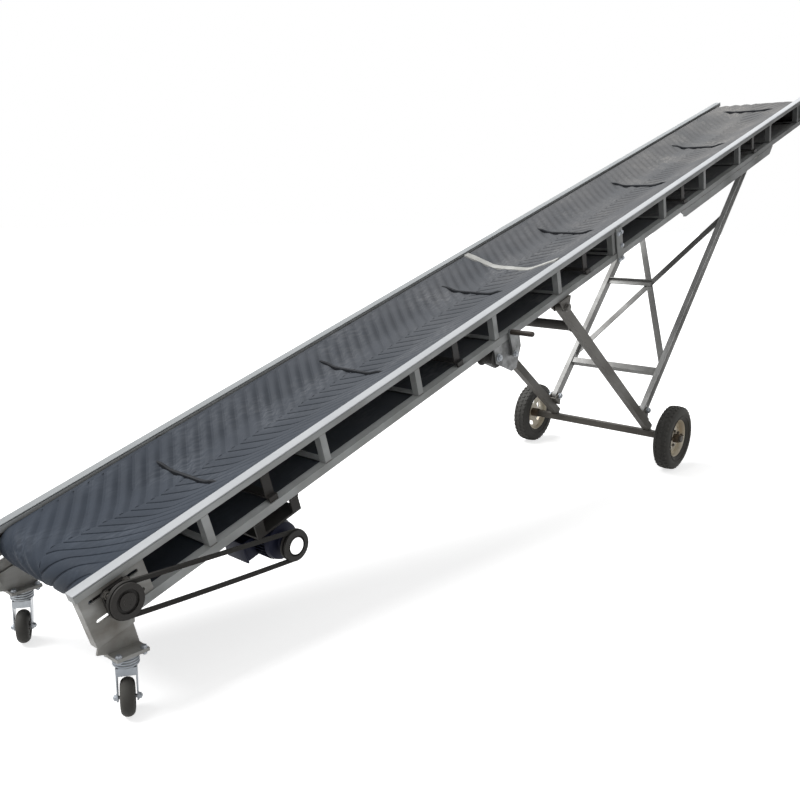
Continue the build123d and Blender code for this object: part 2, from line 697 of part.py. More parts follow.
def track_nodes():
    """Leg pivot brackets, and the tracks that guide the rear legs' rollers."""
    top = -FRAME_DEPTH
    pivot_h = top - LEG_PIVOT_DROP
    leg_y = (HALF_WIDTH - FRONT_LEG_WIDTH, HALF_WIDTH)
    outer = leg_y[1] + SIDE_GAP + BRACKET_WALL
    inner = leg_y[0] - SIDE_GAP - BRACKET_WALL
    reach = FRONT_LEG_DEPTH
    bracket = bar(
        (LEG_PIVOT_S - reach, LEG_PIVOT_S + reach), (inner, outer), (top - BRACKET_WALL, top)
    )
    cheek = [
        (LEG_PIVOT_S - reach, top - BRACKET_WALL),
        (LEG_PIVOT_S + reach, top - BRACKET_WALL),
        (LEG_PIVOT_S + 2 * PIN_RADIUS, pivot_h - 2 * PIN_RADIUS),
        (LEG_PIVOT_S - 2 * PIN_RADIUS, pivot_h - 2 * PIN_RADIUS),
    ]
    for y in (inner, outer - BRACKET_WALL):
        bracket += side_plate(cheek, (y, y + BRACKET_WALL))
    bracket += rod(PIN_RADIUS, (inner, outer), LEG_PIVOT_S, pivot_h)

    ledge_top = top - TRACK_ROOM
    low = ledge_top - TRACK_WALL
    outline = [
        (TRACK_START, top),
        (TRACK_END, top),
        (TRACK_END, top - TRACK_WALL),
        (TRACK_END - TRACK_TAPER, low),
        (TRACK_START + TRACK_TAPER, low),
        (TRACK_START, top - TRACK_WALL),
    ]
    web_inner = HALF_WIDTH - TRACK_LAP
    web = side_plate(outline, (web_inner, web_inner + TRACK_WALL))
    ledge = bar(
        (TRACK_START + TRACK_TAPER, TRACK_END - TRACK_TAPER),
        (REAR_LEG_OUTER + SIDE_GAP, web_inner),
        (low, ledge_top),
    )
    return {
        "leg_brackets": pair(bracket),
        "track_webs": pair(web),
        "track_ledges": pair(ledge),
    }


def front_leg_nodes():
    """Front legs with the rear legs' lugs, the tube between them, and the axle beam with its stubs."""
    length = LEG_LENGTH
    slope = degrees(atan2(LEG_RUN[1], LEG_RUN[0]))
    place = Location((LEG_PIVOT[0], 0, LEG_PIVOT[1]), (0, -slope, 0))
    leg_y = (HALF_WIDTH - FRONT_LEG_WIDTH, HALF_WIDTH)
    half = FRONT_LEG_DEPTH / 2
    beam_half = AXLE_BEAM / 2
    leg = bar((0, length + beam_half), leg_y, (-half, half)) + rod(half, leg_y)
    leg -= rod(PIN_RADIUS + RUNNING_FIT, (leg_y[0] - 1, leg_y[1] + 1))
    leg = place * leg
    beam_box = (AXLE_X - beam_half, AXLE_X + beam_half)
    beam_height = (WHEEL_RADIUS - beam_half, WHEEL_RADIUS + beam_half)
    leg -= bar((beam_box[0], AXLE_X + length), leg_y, (-length, beam_height[1]))
    leg -= bar((-length, AXLE_X), leg_y, (-length, beam_height[0]))
    leg = leg.solids().sort_by(SortBy.VOLUME)[-1]

    inner_lug = REAR_LEG_OUTER - REAR_LEG_WIDTH - SIDE_GAP
    outer_lug = REAR_LEG_OUTER + SIDE_GAP
    lug_at = length - REAR_PIVOT_BACK
    lug_span = (lug_at - REAR_LUG_REACH, lug_at + REAR_LUG_REACH)
    lug_y = (inner_lug - BRACKET_WALL, outer_lug + BRACKET_WALL)
    lug = bar(lug_span, (lug_y[0], leg_y[1]), (half, half + BRACKET_WALL))
    cheek = [
        (lug_span[0], half),
        (lug_span[1], half),
        (lug_at + 2 * PIN_RADIUS, REAR_PIVOT_OVER),
        (lug_at + PIN_RADIUS, REAR_PIVOT_OVER + 2 * PIN_RADIUS),
        (lug_at - PIN_RADIUS, REAR_PIVOT_OVER + 2 * PIN_RADIUS),
        (lug_at - 2 * PIN_RADIUS, REAR_PIVOT_OVER),
    ]
    for y in ((lug_y[0], inner_lug), (outer_lug, lug_y[1])):
        lug += side_plate(cheek, y)
    lug += rod(PIN_RADIUS, lug_y, lug_at, REAR_PIVOT_OVER)
    nodes = both_sides("front_leg", leg + place * lug)
    nodes["front_cross_tube"] = place * rod(
        FRONT_TUBE_RADIUS, (-leg_y[0], leg_y[0]), FRONT_TUBE_PLACE, 0
    )

    hub_inner = WHEEL_GAUGE / 2 - HUB_HALF - HUB_GAP
    hub_outer = WHEEL_GAUGE / 2 + HUB_HALF + HUB_GAP
    reach = hub_outer + AXLE_NUT_WIDTH
    beam = bar(beam_box, (-hub_inner, hub_inner), beam_height)
    beam += rod(AXLE_RADIUS, (-reach, reach), AXLE_X, WHEEL_RADIUS)
    nut = extrude(RegularPolygon(AXLE_NUT_RADIUS, 6), AXLE_NUT_WIDTH)
    for turn in SIDES.values():
        beam += Pos(AXLE_X, turn * hub_outer, WHEEL_RADIUS) * Rot(-turn * 90, 0, 0) * nut
    nodes["axle_beam"] = beam
    return nodes


def rear_leg_nodes():
    """Rear legs of channel steel with their bars and crossed braces, and the roller shaft on top."""
    run = (SLIDER[0] - REAR_PIVOT[0], SLIDER[1] - REAR_PIVOT[1])
    length = hypot(*run)
    slope = degrees(atan2(run[1], run[0]))
    place = Location((REAR_PIVOT[0], 0, REAR_PIVOT[1]), (0, -slope, 0))
    half = REAR_LEG_DEPTH / 2
    inner = REAR_LEG_OUTER - REAR_LEG_WIDTH
    leg_y = (inner, REAR_LEG_OUTER)
    through = (inner - 1, REAR_LEG_OUTER + 1)

    leg = bar((0, length - REAR_LEG_NECK), leg_y, (-half, half))
    leg -= bar(
        (half, length - 2 * REAR_LEG_NECK),
        (inner + REAR_LEG_WALL, REAR_LEG_OUTER + 1),
        (-half + REAR_LEG_WALL, half - REAR_LEG_WALL),
    )
    neck = (-REAR_EYE_RADIUS, REAR_EYE_RADIUS)
    leg += bar((length - 2 * REAR_LEG_NECK, length), leg_y, neck)
    leg += rod(REAR_EYE_RADIUS, leg_y, length)
    leg += rod(half, leg_y)
    leg -= rod(PIN_RADIUS + RUNNING_FIT, through)
    leg -= rod(ROLLER_RADIUS + RUNNING_FIT, through, length)
    nodes = both_sides("rear_leg", leg)

    size = REAR_BAR_SIZE / 2
    lower = bar((LOWER_BAR_PLACE - size, LOWER_BAR_PLACE + size), (-inner, inner), (-size, size))
    crossing = (BRACE_LOW + BRACE_HIGH) / 2
    upper_wide = (crossing - size, crossing + size)
    upper_y = (-BRACE_WIDTH / 2, inner)
    upper = bar(upper_wide, upper_y, (BRACE_WALL, BRACE_WALL + REAR_LEG_WALL))
    upper += bar((upper_wide[1] - REAR_LEG_WALL, upper_wide[1]), upper_y, (BRACE_WALL, half))
    nodes["rear_cross_bars"] = [lower, upper]

    reach = BRACE_HIGH - BRACE_LOW
    brace_angle = degrees(atan2(2 * inner, reach))
    blank = reach + 4 * inner
    for name, turn in (("rear_brace_a", 1), ("rear_brace_b", -1)):
        layer = sorted((0, turn * BRACE_WALL))
        brace = bar((-blank / 2, blank / 2), (-BRACE_WIDTH / 2, BRACE_WIDTH / 2), layer)
        brace = Pos(crossing, 0, 0) * Rot(0, 0, turn * brace_angle) * brace
        nodes[name] = brace & bar((0, length), (-inner, inner), (-half, half))

    roller_end = HALF_WIDTH - TRACK_LAP - SIDE_GAP
    nodes["roller_shaft"] = rod(ROLLER_RADIUS, (-roller_end, roller_end), length)
    return placed(place, nodes)


def wheel_nodes():
    """Pneumatic wheels: a round-shouldered tyre on a dished steel rim with its hub."""
    half = TYRE_WIDTH / 2
    shoulder = WHEEL_RADIUS - SHOULDER_DROP
    tyre = spun(
        [
            (RIM_RADIUS, -half),
            (shoulder, -half),
            (WHEEL_RADIUS, -TREAD_HALF),
            (WHEEL_RADIUS, TREAD_HALF),
            (shoulder, half),
            (RIM_RADIUS, half),
        ]
    )

    bore = AXLE_RADIUS + RUNNING_FIT
    edge = RIM_RADIUS - ROLL_GAP
    rim = spun(
        [
            (bore, -HUB_HALF),
            (HUB_RADIUS, -HUB_HALF),
            (HUB_RADIUS, -BEAD_HALF),
            (edge, -BEAD_HALF),
            (edge, BEAD_HALF),
            (edge - RIM_WALL, BEAD_HALF),
            (edge - RIM_WALL, DISC_FACE),
            (HUB_RADIUS, DISC_FACE),
            (HUB_RADIUS, HUB_HALF),
            (bore, HUB_HALF),
        ]
    )
    nodes = both_sides("tyre", Pos(AXLE_X, WHEEL_GAUGE / 2, WHEEL_RADIUS) * tyre)
    return nodes | both_sides("rim", Pos(AXLE_X, WHEEL_GAUGE / 2, WHEEL_RADIUS) * rim)


def caster_nodes():
    """Swivel casters: bracket with top plate, bearing cup and kingpin, fork, and solid wheel."""
    plate_x, plate_y, plate_z = CASTER_PLATE
    seat = CASTER_SEAT_HEIGHT
    cup_h = CUP_LOW + CASTER_CUP_HEIGHT / 2
    pin_h = (CROWN_LOW + seat) / 2
    pin_length = seat - CROWN_LOW
    half = CASTER_WIDTH / 2
    inner = half + FORK_GAP
    outer = inner + FORK_WALL
    axle_x = -CASTER_TRAIL

    plate = bar((-plate_x / 2, plate_x / 2), (-plate_y / 2, plate_y / 2), (seat - plate_z, seat))
    plate += Pos(0, 0, cup_h) * Cylinder(CASTER_CUP_RADIUS, CASTER_CUP_HEIGHT)
    plate += Pos(0, 0, pin_h) * Cylinder(KINGPIN_RADIUS, pin_length)

    fork = bar((-CASTER_CROWN, CASTER_CROWN), (-outer, outer), (CROWN_LOW, CUP_LOW - ROLL_GAP))
    arm = [
        (-CASTER_CROWN, CROWN_LOW),
        (CASTER_CROWN, CROWN_LOW),
        (axle_x + FORK_TOE, CASTER_RADIUS - FORK_TOE / 2),
        (axle_x, CASTER_RADIUS - FORK_TOE),
        (axle_x - FORK_TOE, CASTER_RADIUS - FORK_TOE / 2),
    ]
    for turn in (-1, 1):
        fork += side_plate(arm, sorted((turn * inner, turn * outer)))
    fork -= Pos(0, 0, pin_h) * Cylinder(KINGPIN_RADIUS + RUNNING_FIT, seat)
    axle_end = outer + FORK_WALL
    fork += rod(CASTER_AXLE_RADIUS, (-axle_end, axle_end), axle_x, CASTER_RADIUS)

    bore = CASTER_AXLE_RADIUS + RUNNING_FIT
    wheel = spun([(bore, -half), (CASTER_RADIUS, -half), (CASTER_RADIUS, half), (bore, half)])
    wheel = Pos(axle_x, 0, CASTER_RADIUS) * wheel

    foot_h = -TAIL_FOOT_DEPTH
    lip_end = END_PLATE_INSET + END_PLATE_WALL
    web = [
        (CASTER_X + plate_x / 2, seat),
        boom_point(TAIL_FOOT_LENGTH, foot_h + TAIL_PLATE_DROP),
        boom_point(lip_end, foot_h + TAIL_PLATE_DROP),
        boom_point(lip_end, foot_h),
        (boom_point(END_PLATE_INSET, foot_h)[0], seat + END_PLATE_WALL),
        (CASTER_X - plate_x / 2, seat),
    ]
    web_y = (CHORD_FACE - 2 * END_PLATE_WALL, CHORD_FACE - END_PLATE_WALL)
    nodes = {"caster_brackets": []}
    for name, turn in SIDES.items():
        place = Pos(CASTER_X, turn * CASTER_GAUGE / 2, 0)
        bracket = place * plate
        bracket += side_plate(web, sorted((turn * web_y[0], turn * web_y[1])))
        nodes["caster_brackets"].append(bracket)
        turned = place * Rot(0, 0, CASTER_SWIVEL)
        nodes["caster_fork_" + name] = turned * fork
        nodes["caster_wheel_" + name] = turned * wheel
    return nodes


def build():
    """Every node of the conveyor, in the part's own frame."""
    boom = {}
    for make in (frame_nodes, belt_nodes, drum_nodes, idler_nodes, drive_nodes, winch_nodes, track_nodes):
        boom |= make()
    ground = {}
    for make in (front_leg_nodes, rear_leg_nodes, wheel_nodes, caster_nodes):
        ground |= make()
    return placed(boom_place, boom) | placed(ground_place, ground)


def main():
    os.makedirs("parts", exist_ok=True)
    for name, shape in build().items():
        export_step(shape, os.path.join("parts", name + ".step"))


if __name__ == "__main__":
    main()
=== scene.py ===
import json
import logging
from abc import ABC, abstractmethod
from collections.abc import Sequence
from dataclasses import dataclass, field
from enum import Enum
from math import atan2, copysign, cos, pi, radians, sin, tau

import bmesh
import bpy
from mathutils import Matrix, Vector


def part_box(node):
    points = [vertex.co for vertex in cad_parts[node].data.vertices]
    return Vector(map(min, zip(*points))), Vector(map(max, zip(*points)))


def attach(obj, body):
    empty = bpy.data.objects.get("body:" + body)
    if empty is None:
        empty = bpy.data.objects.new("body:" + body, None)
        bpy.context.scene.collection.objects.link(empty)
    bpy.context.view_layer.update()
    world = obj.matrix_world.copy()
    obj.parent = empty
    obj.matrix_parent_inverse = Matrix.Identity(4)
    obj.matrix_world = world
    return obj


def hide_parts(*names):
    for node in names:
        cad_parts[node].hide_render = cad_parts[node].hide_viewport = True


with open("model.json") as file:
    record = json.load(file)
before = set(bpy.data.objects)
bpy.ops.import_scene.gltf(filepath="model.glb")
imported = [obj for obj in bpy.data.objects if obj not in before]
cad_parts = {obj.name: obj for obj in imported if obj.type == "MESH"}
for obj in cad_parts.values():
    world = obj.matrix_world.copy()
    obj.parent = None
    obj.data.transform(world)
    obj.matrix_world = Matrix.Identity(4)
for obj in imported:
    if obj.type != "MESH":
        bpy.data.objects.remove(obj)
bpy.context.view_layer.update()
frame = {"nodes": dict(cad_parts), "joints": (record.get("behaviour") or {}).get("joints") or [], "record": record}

# A mobile belt conveyor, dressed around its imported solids. Lengths are in metres. +X runs from tail to
# head, +Y is the left side and +Z is up. Boom coordinates are (s along the belt, y, h above the top edge).

ACROSS = Vector((0, 1, 0))
UP = Vector((0, 0, 1))
SMOOTH_ANGLE = radians(32)
FIT = 0.0003

# Spans of noise, of an edge's turn and of a corner's openness that the finishes map to shares.
STAIN_SPAN = (0.38, 0.68)
SPECK_SPAN = (0.3, 0.7)
SCUFF_SPAN = (0.3, 0.75)
RUB_SPAN = (0.985, 0.8)
CHIP_SPAN = (0.3, 0.6)
CORNER_SPAN = (0.75, 0.15)
PATCH_SPAN = (0.46, 0.70)
STREAK_SPAN = (0.40, 0.70)
LIGHT_RAMP_SPAN = (-3.0, 3.0)
GRAIN_DEPTH = 0.0006

Pair = tuple[float, float]
Triple = tuple[float, float, float]
Colour = Triple
Outline = Sequence[Pair]
Socket = bpy.types.NodeSocket
Piece = bpy.types.Object

log = logging.getLogger("conveyor")


class Side(Enum):
    """The two sides of the machine, as the sign of their Y."""

    LEFT = 1
    RIGHT = -1

    @property
    def label(self) -> str:
        """Lower-case name, as node and body names end with it."""
        return self.name.lower()


class Body(str, Enum):
    """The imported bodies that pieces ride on. Paired bodies take a side's label after them."""

    BOOM = "boom"
    FRONT_LEGS = "front_legs"
    REAR_LEGS = "rear_legs"
    WHEEL = "wheel_"
    CASTER_SWIVEL = "caster_swivel_"
    CASTER_ROLL = "caster_roll_"

    def of(self, side: Side) -> str:
        """Name of this body on one side."""
        return self.value + side.label


class Slot(str, Enum):
    """The record's material slots."""

    GALVANISED = "galvanised"
    LEG_STEEL = "leg_steel"
    ZINC = "zinc"
    DARK_STEEL = "dark_steel"
    MOTOR_PAINT = "motor_paint"
    BELT_RUBBER = "belt_rubber"
    PALE_RUBBER = "pale_rubber"
    TYRE_RUBBER = "tyre_rubber"
    RIM_PAINT = "rim_paint"


class Grain(Enum):
    """Fine patterns that a finish can have."""

    SPANGLE = "crystal cells of hot-dip zinc"
    MOTTLE = "soft uneven specks"
    SCUFFED = "long scuffs along the part"


def grey(level: float) -> Colour:
    """A colour without hue."""
    return level, level, level


class ShaderTree:
    """Wires the shader nodes of one material."""

    def __init__(self, name: str) -> None:
        """Starts a material.

        Args:
            name: The material's name.
        """
        self.material = bpy.data.materials.new(name)
        self.material.use_nodes = True
        self.nodes = self.material.node_tree.nodes
        self.links = self.material.node_tree.links
        self.shader = self.nodes["Principled BSDF"]
        self.place = self.add("ShaderNodeTexCoord").outputs["Object"]

    def add(
        self, kind: str, inputs: dict[str | int, object] | None = None, **settings: object
    ) -> bpy.types.Node:
        """Adds a node.

        Args:
            kind: Blender's name of the node's type.
            inputs: Values or sockets by the name or number of the input.
            settings: Properties of the node itself.

        Returns:
            The new node.
        """
        node = self.nodes.new(kind)
        for name, value in settings.items():
            setattr(node, name, value)
        for key, value in (inputs or {}).items():
            if isinstance(value, Socket):
                self.links.new(value, node.inputs[key])
            else:
                node.inputs[key].default_value = value
        return node

    def noise(self, scale: float, detail: float, stretch: Triple = (1, 1, 1)) -> Socket:
        """Cloudy noise from 0 to 1.

        Args:
            scale: Clouds per metre.
            detail: Octaves of finer noise.
            stretch: Factors on the coordinates, below 1 to draw the clouds out.

        Returns:
            The noise's value.
        """
        place = self.add("ShaderNodeMapping", {"Vector": self.place, "Scale": stretch}).outputs[0]
        return self.add("ShaderNodeTexNoise", {"Vector": place, "Scale": scale, "Detail": detail}).outputs[0]

    def cells(self, scale: float) -> Socket:
        """Random value of each crystal cell, from 0 to 1."""
        cell = self.add("ShaderNodeTexVoronoi", {"Vector": self.place, "Scale": scale})
        return self.add("ShaderNodeSeparateColor", {"Color": cell.outputs["Color"]}).outputs[0]

    def spread(self, source: Socket, span: Pair, to: Pair = (0, 1)) -> Socket:
        """Maps a span of a value to another span, clamped."""
        inputs = {"Value": source, "From Min": span[0], "From Max": span[1], "To Min": to[0], "To Max": to[1]}
        return self.add("ShaderNodeMapRange", inputs).outputs[0]

    def product(self, a: Socket, b: Socket | float) -> Socket:
        """Product of two values."""
        return self.add("ShaderNodeMath", {0: a, 1: b}, operation="MULTIPLY").outputs[0]

    def tinted(self, colour: Socket, tint: Socket) -> Socket:
        """A colour times a tint."""
        return self.add("ShaderNodeVectorMath", {0: colour, 1: tint}, operation="MULTIPLY").outputs[0]

    def mix(self, share: Socket, first: Socket | Colour, second: Socket | Colour) -> Socket:
        """Colour between two colours.

        Args:
            share: 0 gives the first and 1 the second.
            first: A colour or a socket.
            second: A colour or a socket.

        Returns:
            The mixed colour.
        """
        colours = [c if isinstance(c, Socket) else (*c, 1.0) for c in (first, second)]
        inputs = {0: share, 6: colours[0], 7: colours[1]}
        return self.add("ShaderNodeMix", inputs, data_type="RGBA").outputs[2]


def seen_share(tree: bpy.types.NodeTree) -> Socket:
    """Share that is 1 where a camera, glossy or transmission ray looks, otherwise 0.

    Args:
        tree: The nodes of a material or of the world.

    Returns:
        The share.
    """
    path = tree.nodes.new("ShaderNodeLightPath").outputs
    shown = path["Is Camera Ray"]
    for name in ("Is Glossy Ray", "Is Transmission Ray"):
        most = tree.nodes.new("ShaderNodeMath")
        most.operation = "MAXIMUM"
        tree.links.new(shown, most.inputs[0])
        tree.links.new(path[name], most.inputs[1])
        shown = most.outputs[0]
    return shown


@dataclass(frozen=True)
class Finish:
    """A surface finish: two broken-up colours, worn edges, dirt and painted shade in corners, gloss and bump.

    Its ramp tints the colours from the machine's tail to its head, lighter or darker along the machine: painted
    light and shade.
    """

    name: str
    base: Colour
    second: Colour
    edge: Colour
    grime: Colour
    grain: Grain
    grain_scale: float
    grain_share: float
    roughness: Pair
    metallic: float = 0.0
    bump: float = 0.15
    stain_scale: float = 3.0
    edge_share: float = 0.6
    grime_share: float = 0.5
    edge_radius: float = 0.0018
    grime_reach: float = 0.03
    specular: float = 0.5
    scuff_share: float = 0.0
    fade: tuple[Colour, Colour] | None = None

    @property
    def label(self) -> str:
        """The material's name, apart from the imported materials' names."""
        return "finish_" + self.name

    def material(self) -> bpy.types.Material:
        """The finish's material, made once."""
        return bpy.data.materials.get(self.label) or self.wired()

    def pattern(self, tree: ShaderTree) -> Socket:
        """The grain's fine pattern.

        Args:
            tree: The material's nodes.

        Returns:
            A value from 0 to 1.
        """
        if self.grain is Grain.SPANGLE:
            return tree.cells(self.grain_scale)
        if self.grain is Grain.SCUFFED:
            return tree.spread(tree.noise(self.grain_scale, 6, (0.06, 1, 1)), SCUFF_SPAN)
        return tree.spread(tree.noise(self.grain_scale, 6), SPECK_SPAN)

    def worn(self, tree: ShaderTree, colour: Socket, bevel: Socket) -> Socket:
        """Rubs a colour off at the edges, in chips.

        Args:
            tree: The material's nodes.
            colour: The colour so far.
            bevel: The rounded normal.

        Returns:
            The worn colour.
        """
        flat = tree.add("ShaderNodeNewGeometry").outputs["Normal"]
        turn = tree.add("ShaderNodeVectorMath", {0: bevel, 1: flat}, operation="DOT_PRODUCT").outputs["Value"]
        rubbed = tree.spread(turn, RUB_SPAN, (0, self.edge_share))
        chips = tree.spread(tree.noise(40, 3), CHIP_SPAN)
        return tree.mix(tree.product(rubbed, chips), colour, self.edge)

    def weathered(self, tree: ShaderTree, colour: Socket) -> Socket:
        """Adds dirt and painted shade in the corners, pale scuffs, and painted light and shade along the machine.

        Args:
            tree: The material's nodes.
            colour: The colour so far.

        Returns:
            The weathered colour.
        """
        # Painted shade, with some dirt: corners that ambient occlusion finds closed are mixed towards the corner
        # colour.
        reach = {"Distance": self.grime_reach}
        openness = tree.add("ShaderNodeAmbientOcclusion", reach, samples=6).outputs["AO"]
        colour = tree.mix(tree.spread(openness, CORNER_SPAN, (0, self.grime_share)), colour, self.grime)
        if self.scuff_share:
            patches = tree.spread(tree.noise(3.5, 3), PATCH_SPAN, (0, self.scuff_share))
            streaks = tree.spread(tree.noise(75, 5, (0.10, 1, 1)), STREAK_SPAN)
            colour = tree.mix(tree.product(patches, streaks), colour, self.edge)
        # Painted light and shade: the colours are tinted lighter or darker from the tail to the head.
        if self.fade:
            along = tree.add("ShaderNodeSeparateXYZ", {0: tree.place}).outputs["X"]
            colour = tree.tinted(colour, tree.mix(tree.spread(along, LIGHT_RAMP_SPAN), *self.fade))
        return colour

    def wired(self) -> bpy.types.Material:
        """Makes the material's nodes.

        Returns:
            The new procedural material.
        """
        tree = ShaderTree(self.label)
        grain = self.pattern(tree)
        stain = tree.spread(tree.noise(self.stain_scale, 5), STAIN_SPAN)
        bevel = tree.add("ShaderNodeBevel", {"Radius": self.edge_radius}, samples=4).outputs[0]
        shade = tuple(c * (1 - self.grain_share) for c in self.second)
        colour = tree.mix(stain, self.base, self.second)
        colour = tree.mix(tree.product(grain, self.grain_share), colour, shade)
        colour = self.weathered(tree, self.worn(tree, colour, bevel))
        relief = {"Height": grain, "Distance": GRAIN_DEPTH, "Strength": self.bump, "Normal": bevel}
        linked = {
            "Base Color": colour,
            "Roughness": tree.spread(stain, (0, 1), self.roughness),
            "Normal": tree.add("ShaderNodeBump", relief).outputs[0],
        }
        for name, socket in linked.items():
            tree.links.new(socket, tree.shader.inputs[name])
        tree.shader.inputs["Metallic"].default_value = self.metallic
        tree.shader.inputs["Specular IOR Level"].default_value = self.specular
        return tree.material


# Each finish: its name, base, second colour, worn edge and corner colour (dirt and painted shade), then
# its grain, grains per metre, the grain's share and the roughness in clean and stained places.
# The ramps of these finishes are painted light and shade: the belt and caps lighter at the head, the weathered
# steel darker there.
GALVANISED = Finish(
    "galvanised_steel", (0.64, 0.66, 0.68), (0.56, 0.58, 0.60), (0.80, 0.82, 0.84), (0.16, 0.15, 0.13),
    Grain.SPANGLE, 70, 0.14, (0.40, 0.55), metallic=0.1, specular=0.4, fade=(grey(0.72), grey(1.05)))
# Darker copy of the galvanised cap's finish for the left rail: painted shade.
SHADED_ZINC = Finish(
    "shaded_zinc", (0.42, 0.44, 0.45), (0.36, 0.38, 0.39), (0.60, 0.62, 0.63), (0.12, 0.11, 0.10),
    Grain.SPANGLE, 70, 0.14, (0.45, 0.6), metallic=0.1, specular=0.35, fade=(grey(0.75), grey(1.05)))
WEATHERED = Finish(
    "weathered_steel", (0.58, 0.60, 0.60), (0.45, 0.46, 0.45), (0.78, 0.79, 0.79), (0.07, 0.065, 0.06),
    Grain.SCUFFED, 26, 0.28, (0.45, 0.65), metallic=0.1, specular=0.3, stain_scale=5,
    fade=(grey(1.05), grey(0.26)))
GRIMY_STEEL = Finish(
    "grimy_steel", (0.52, 0.52, 0.50), (0.31, 0.29, 0.26), (0.70, 0.70, 0.68), (0.05, 0.045, 0.04),
    Grain.SCUFFED, 34, 0.4, (0.45, 0.7), metallic=0.1, specular=0.3, stain_scale=9, grime_reach=0.06)
LEG_STEEL = Finish(
    "leg_steel", (0.36, 0.36, 0.35), (0.22, 0.215, 0.205), (0.66, 0.66, 0.64), (0.05, 0.045, 0.04),
    Grain.SCUFFED, 30, 0.35, (0.42, 0.6), metallic=0.15, specular=0.35, stain_scale=4)
# A paler copy of the leg steel for the right rear leg: painted light.
LIT_LEG_STEEL = Finish(
    "pale_steel", (0.72, 0.72, 0.71), (0.48, 0.48, 0.47), (0.86, 0.86, 0.85), (0.10, 0.095, 0.09),
    Grain.SCUFFED, 30, 0.4, (0.40, 0.55), metallic=0.1, specular=0.4, stain_scale=4)
TAN_STEEL = Finish(
    "tan_steel", (0.150, 0.142, 0.126), (0.100, 0.092, 0.080), (0.40, 0.39, 0.37), (0.04, 0.036, 0.032),
    Grain.SCUFFED, 30, 0.3, (0.45, 0.62), metallic=0.1, specular=0.3)
# Near-black finish of the front cross tube: painted shade of the boom above it.
SHADE_DARK_TUBE = Finish(
    "black_tube", (0.105, 0.100, 0.094), (0.125, 0.120, 0.112), (0.15, 0.14, 0.13), (0.03, 0.028, 0.025),
    Grain.SCUFFED, 40, 0.3, (0.5, 0.7), specular=0.2)
BRIGHT_ZINC = Finish(
    "bright_zinc", (0.46, 0.49, 0.52), (0.34, 0.37, 0.41), (0.80, 0.82, 0.85), (0.07, 0.07, 0.07),
    Grain.MOTTLE, 90, 0.35, (0.28, 0.5), metallic=0.45)
DULL_ZINC = Finish(
    "dull_zinc", (0.30, 0.31, 0.315), (0.15, 0.153, 0.152), (0.78, 0.79, 0.80), (0.04, 0.038, 0.035),
    Grain.MOTTLE, 45, 0.4, (0.3, 0.55), metallic=0.25, bump=0.3, stain_scale=22, edge_radius=0.003)
DARK_STEEL = Finish(
    "dark_steel", (0.030, 0.030, 0.030), (0.055, 0.051, 0.047), (0.24, 0.23, 0.22), (0.012, 0.012, 0.012),
    Grain.MOTTLE, 60, 0.35, (0.5, 0.7), metallic=0.2, specular=0.25)
GREASY_STEEL = Finish(
    "greasy_steel", (0.13, 0.125, 0.115), (0.07, 0.062, 0.052), (0.36, 0.35, 0.33), (0.02, 0.018, 0.016),
    Grain.MOTTLE, 120, 0.4, (0.4, 0.6), metallic=0.4)
MOTOR_PAINT = Finish(
    "motor_paint", (0.006, 0.008, 0.027), (0.010, 0.012, 0.030), (0.07, 0.075, 0.10), (0.012, 0.012, 0.012),
    Grain.MOTTLE, 120, 0.3, (0.45, 0.6), bump=0.08, specular=0.2)
BELT_RUBBER = Finish(
    "belt_rubber", (0.060, 0.064, 0.070), (0.088, 0.091, 0.096), (0.165, 0.165, 0.165), (0.014, 0.015, 0.017),
    Grain.SCUFFED, 22, 0.35, (0.6, 0.8), stain_scale=4.0, grime_share=0.75, grime_reach=0.02,
    edge_share=0.3, specular=0.12, scuff_share=0.6, fade=((0.58, 0.68, 0.84), (2.75, 2.62, 2.45)))
CLEAT_RUBBER = Finish(
    "cleat_rubber", (0.012, 0.014, 0.018), (0.022, 0.024, 0.028), (0.09, 0.095, 0.10), (0.01, 0.01, 0.012),
    Grain.MOTTLE, 80, 0.3, (0.55, 0.75), specular=0.2)
PALE_RUBBER = Finish(
    "pale_rubber", (0.56, 0.56, 0.54), (0.42, 0.42, 0.40), (0.62, 0.62, 0.60), (0.15, 0.15, 0.145),
    Grain.MOTTLE, 50, 0.3, (0.6, 0.8), stain_scale=12, specular=0.3)
DRIVE_RUBBER = Finish(
    "drive_rubber", (0.024, 0.023, 0.022), (0.042, 0.040, 0.037), (0.10, 0.096, 0.09), (0.015, 0.015, 0.015),
    Grain.MOTTLE, 90, 0.3, (0.6, 0.8), specular=0.2)
TYRE_RUBBER = Finish(
    "tyre_rubber", (0.060, 0.059, 0.055), (0.090, 0.087, 0.079), (0.14, 0.135, 0.126), (0.080, 0.073, 0.063),
    Grain.MOTTLE, 70, 0.3, (0.6, 0.8), grime_share=0.4, specular=0.3)
RIM_PAINT = Finish(
    "rim_paint", (0.90, 0.85, 0.72), (0.74, 0.64, 0.49), (0.92, 0.89, 0.80), (0.38, 0.30, 0.20),
    Grain.MOTTLE, 60, 0.25, (0.38, 0.55), metallic=0.1, stain_scale=9, grime_share=0.3)
HUB_RUST = Finish(
    "hub_rust", (0.075, 0.058, 0.040), (0.12, 0.085, 0.055), (0.26, 0.23, 0.19), (0.02, 0.017, 0.013),
    Grain.MOTTLE, 110, 0.4, (0.5, 0.7), metallic=0.2, stain_scale=20)
WELD_STEEL = Finish(
    "weld_steel", (0.24, 0.23, 0.22), (0.15, 0.135, 0.125), (0.45, 0.45, 0.45), (0.05, 0.045, 0.04),
    Grain.MOTTLE, 200, 0.3, (0.4, 0.6), metallic=0.4, bump=0.3)
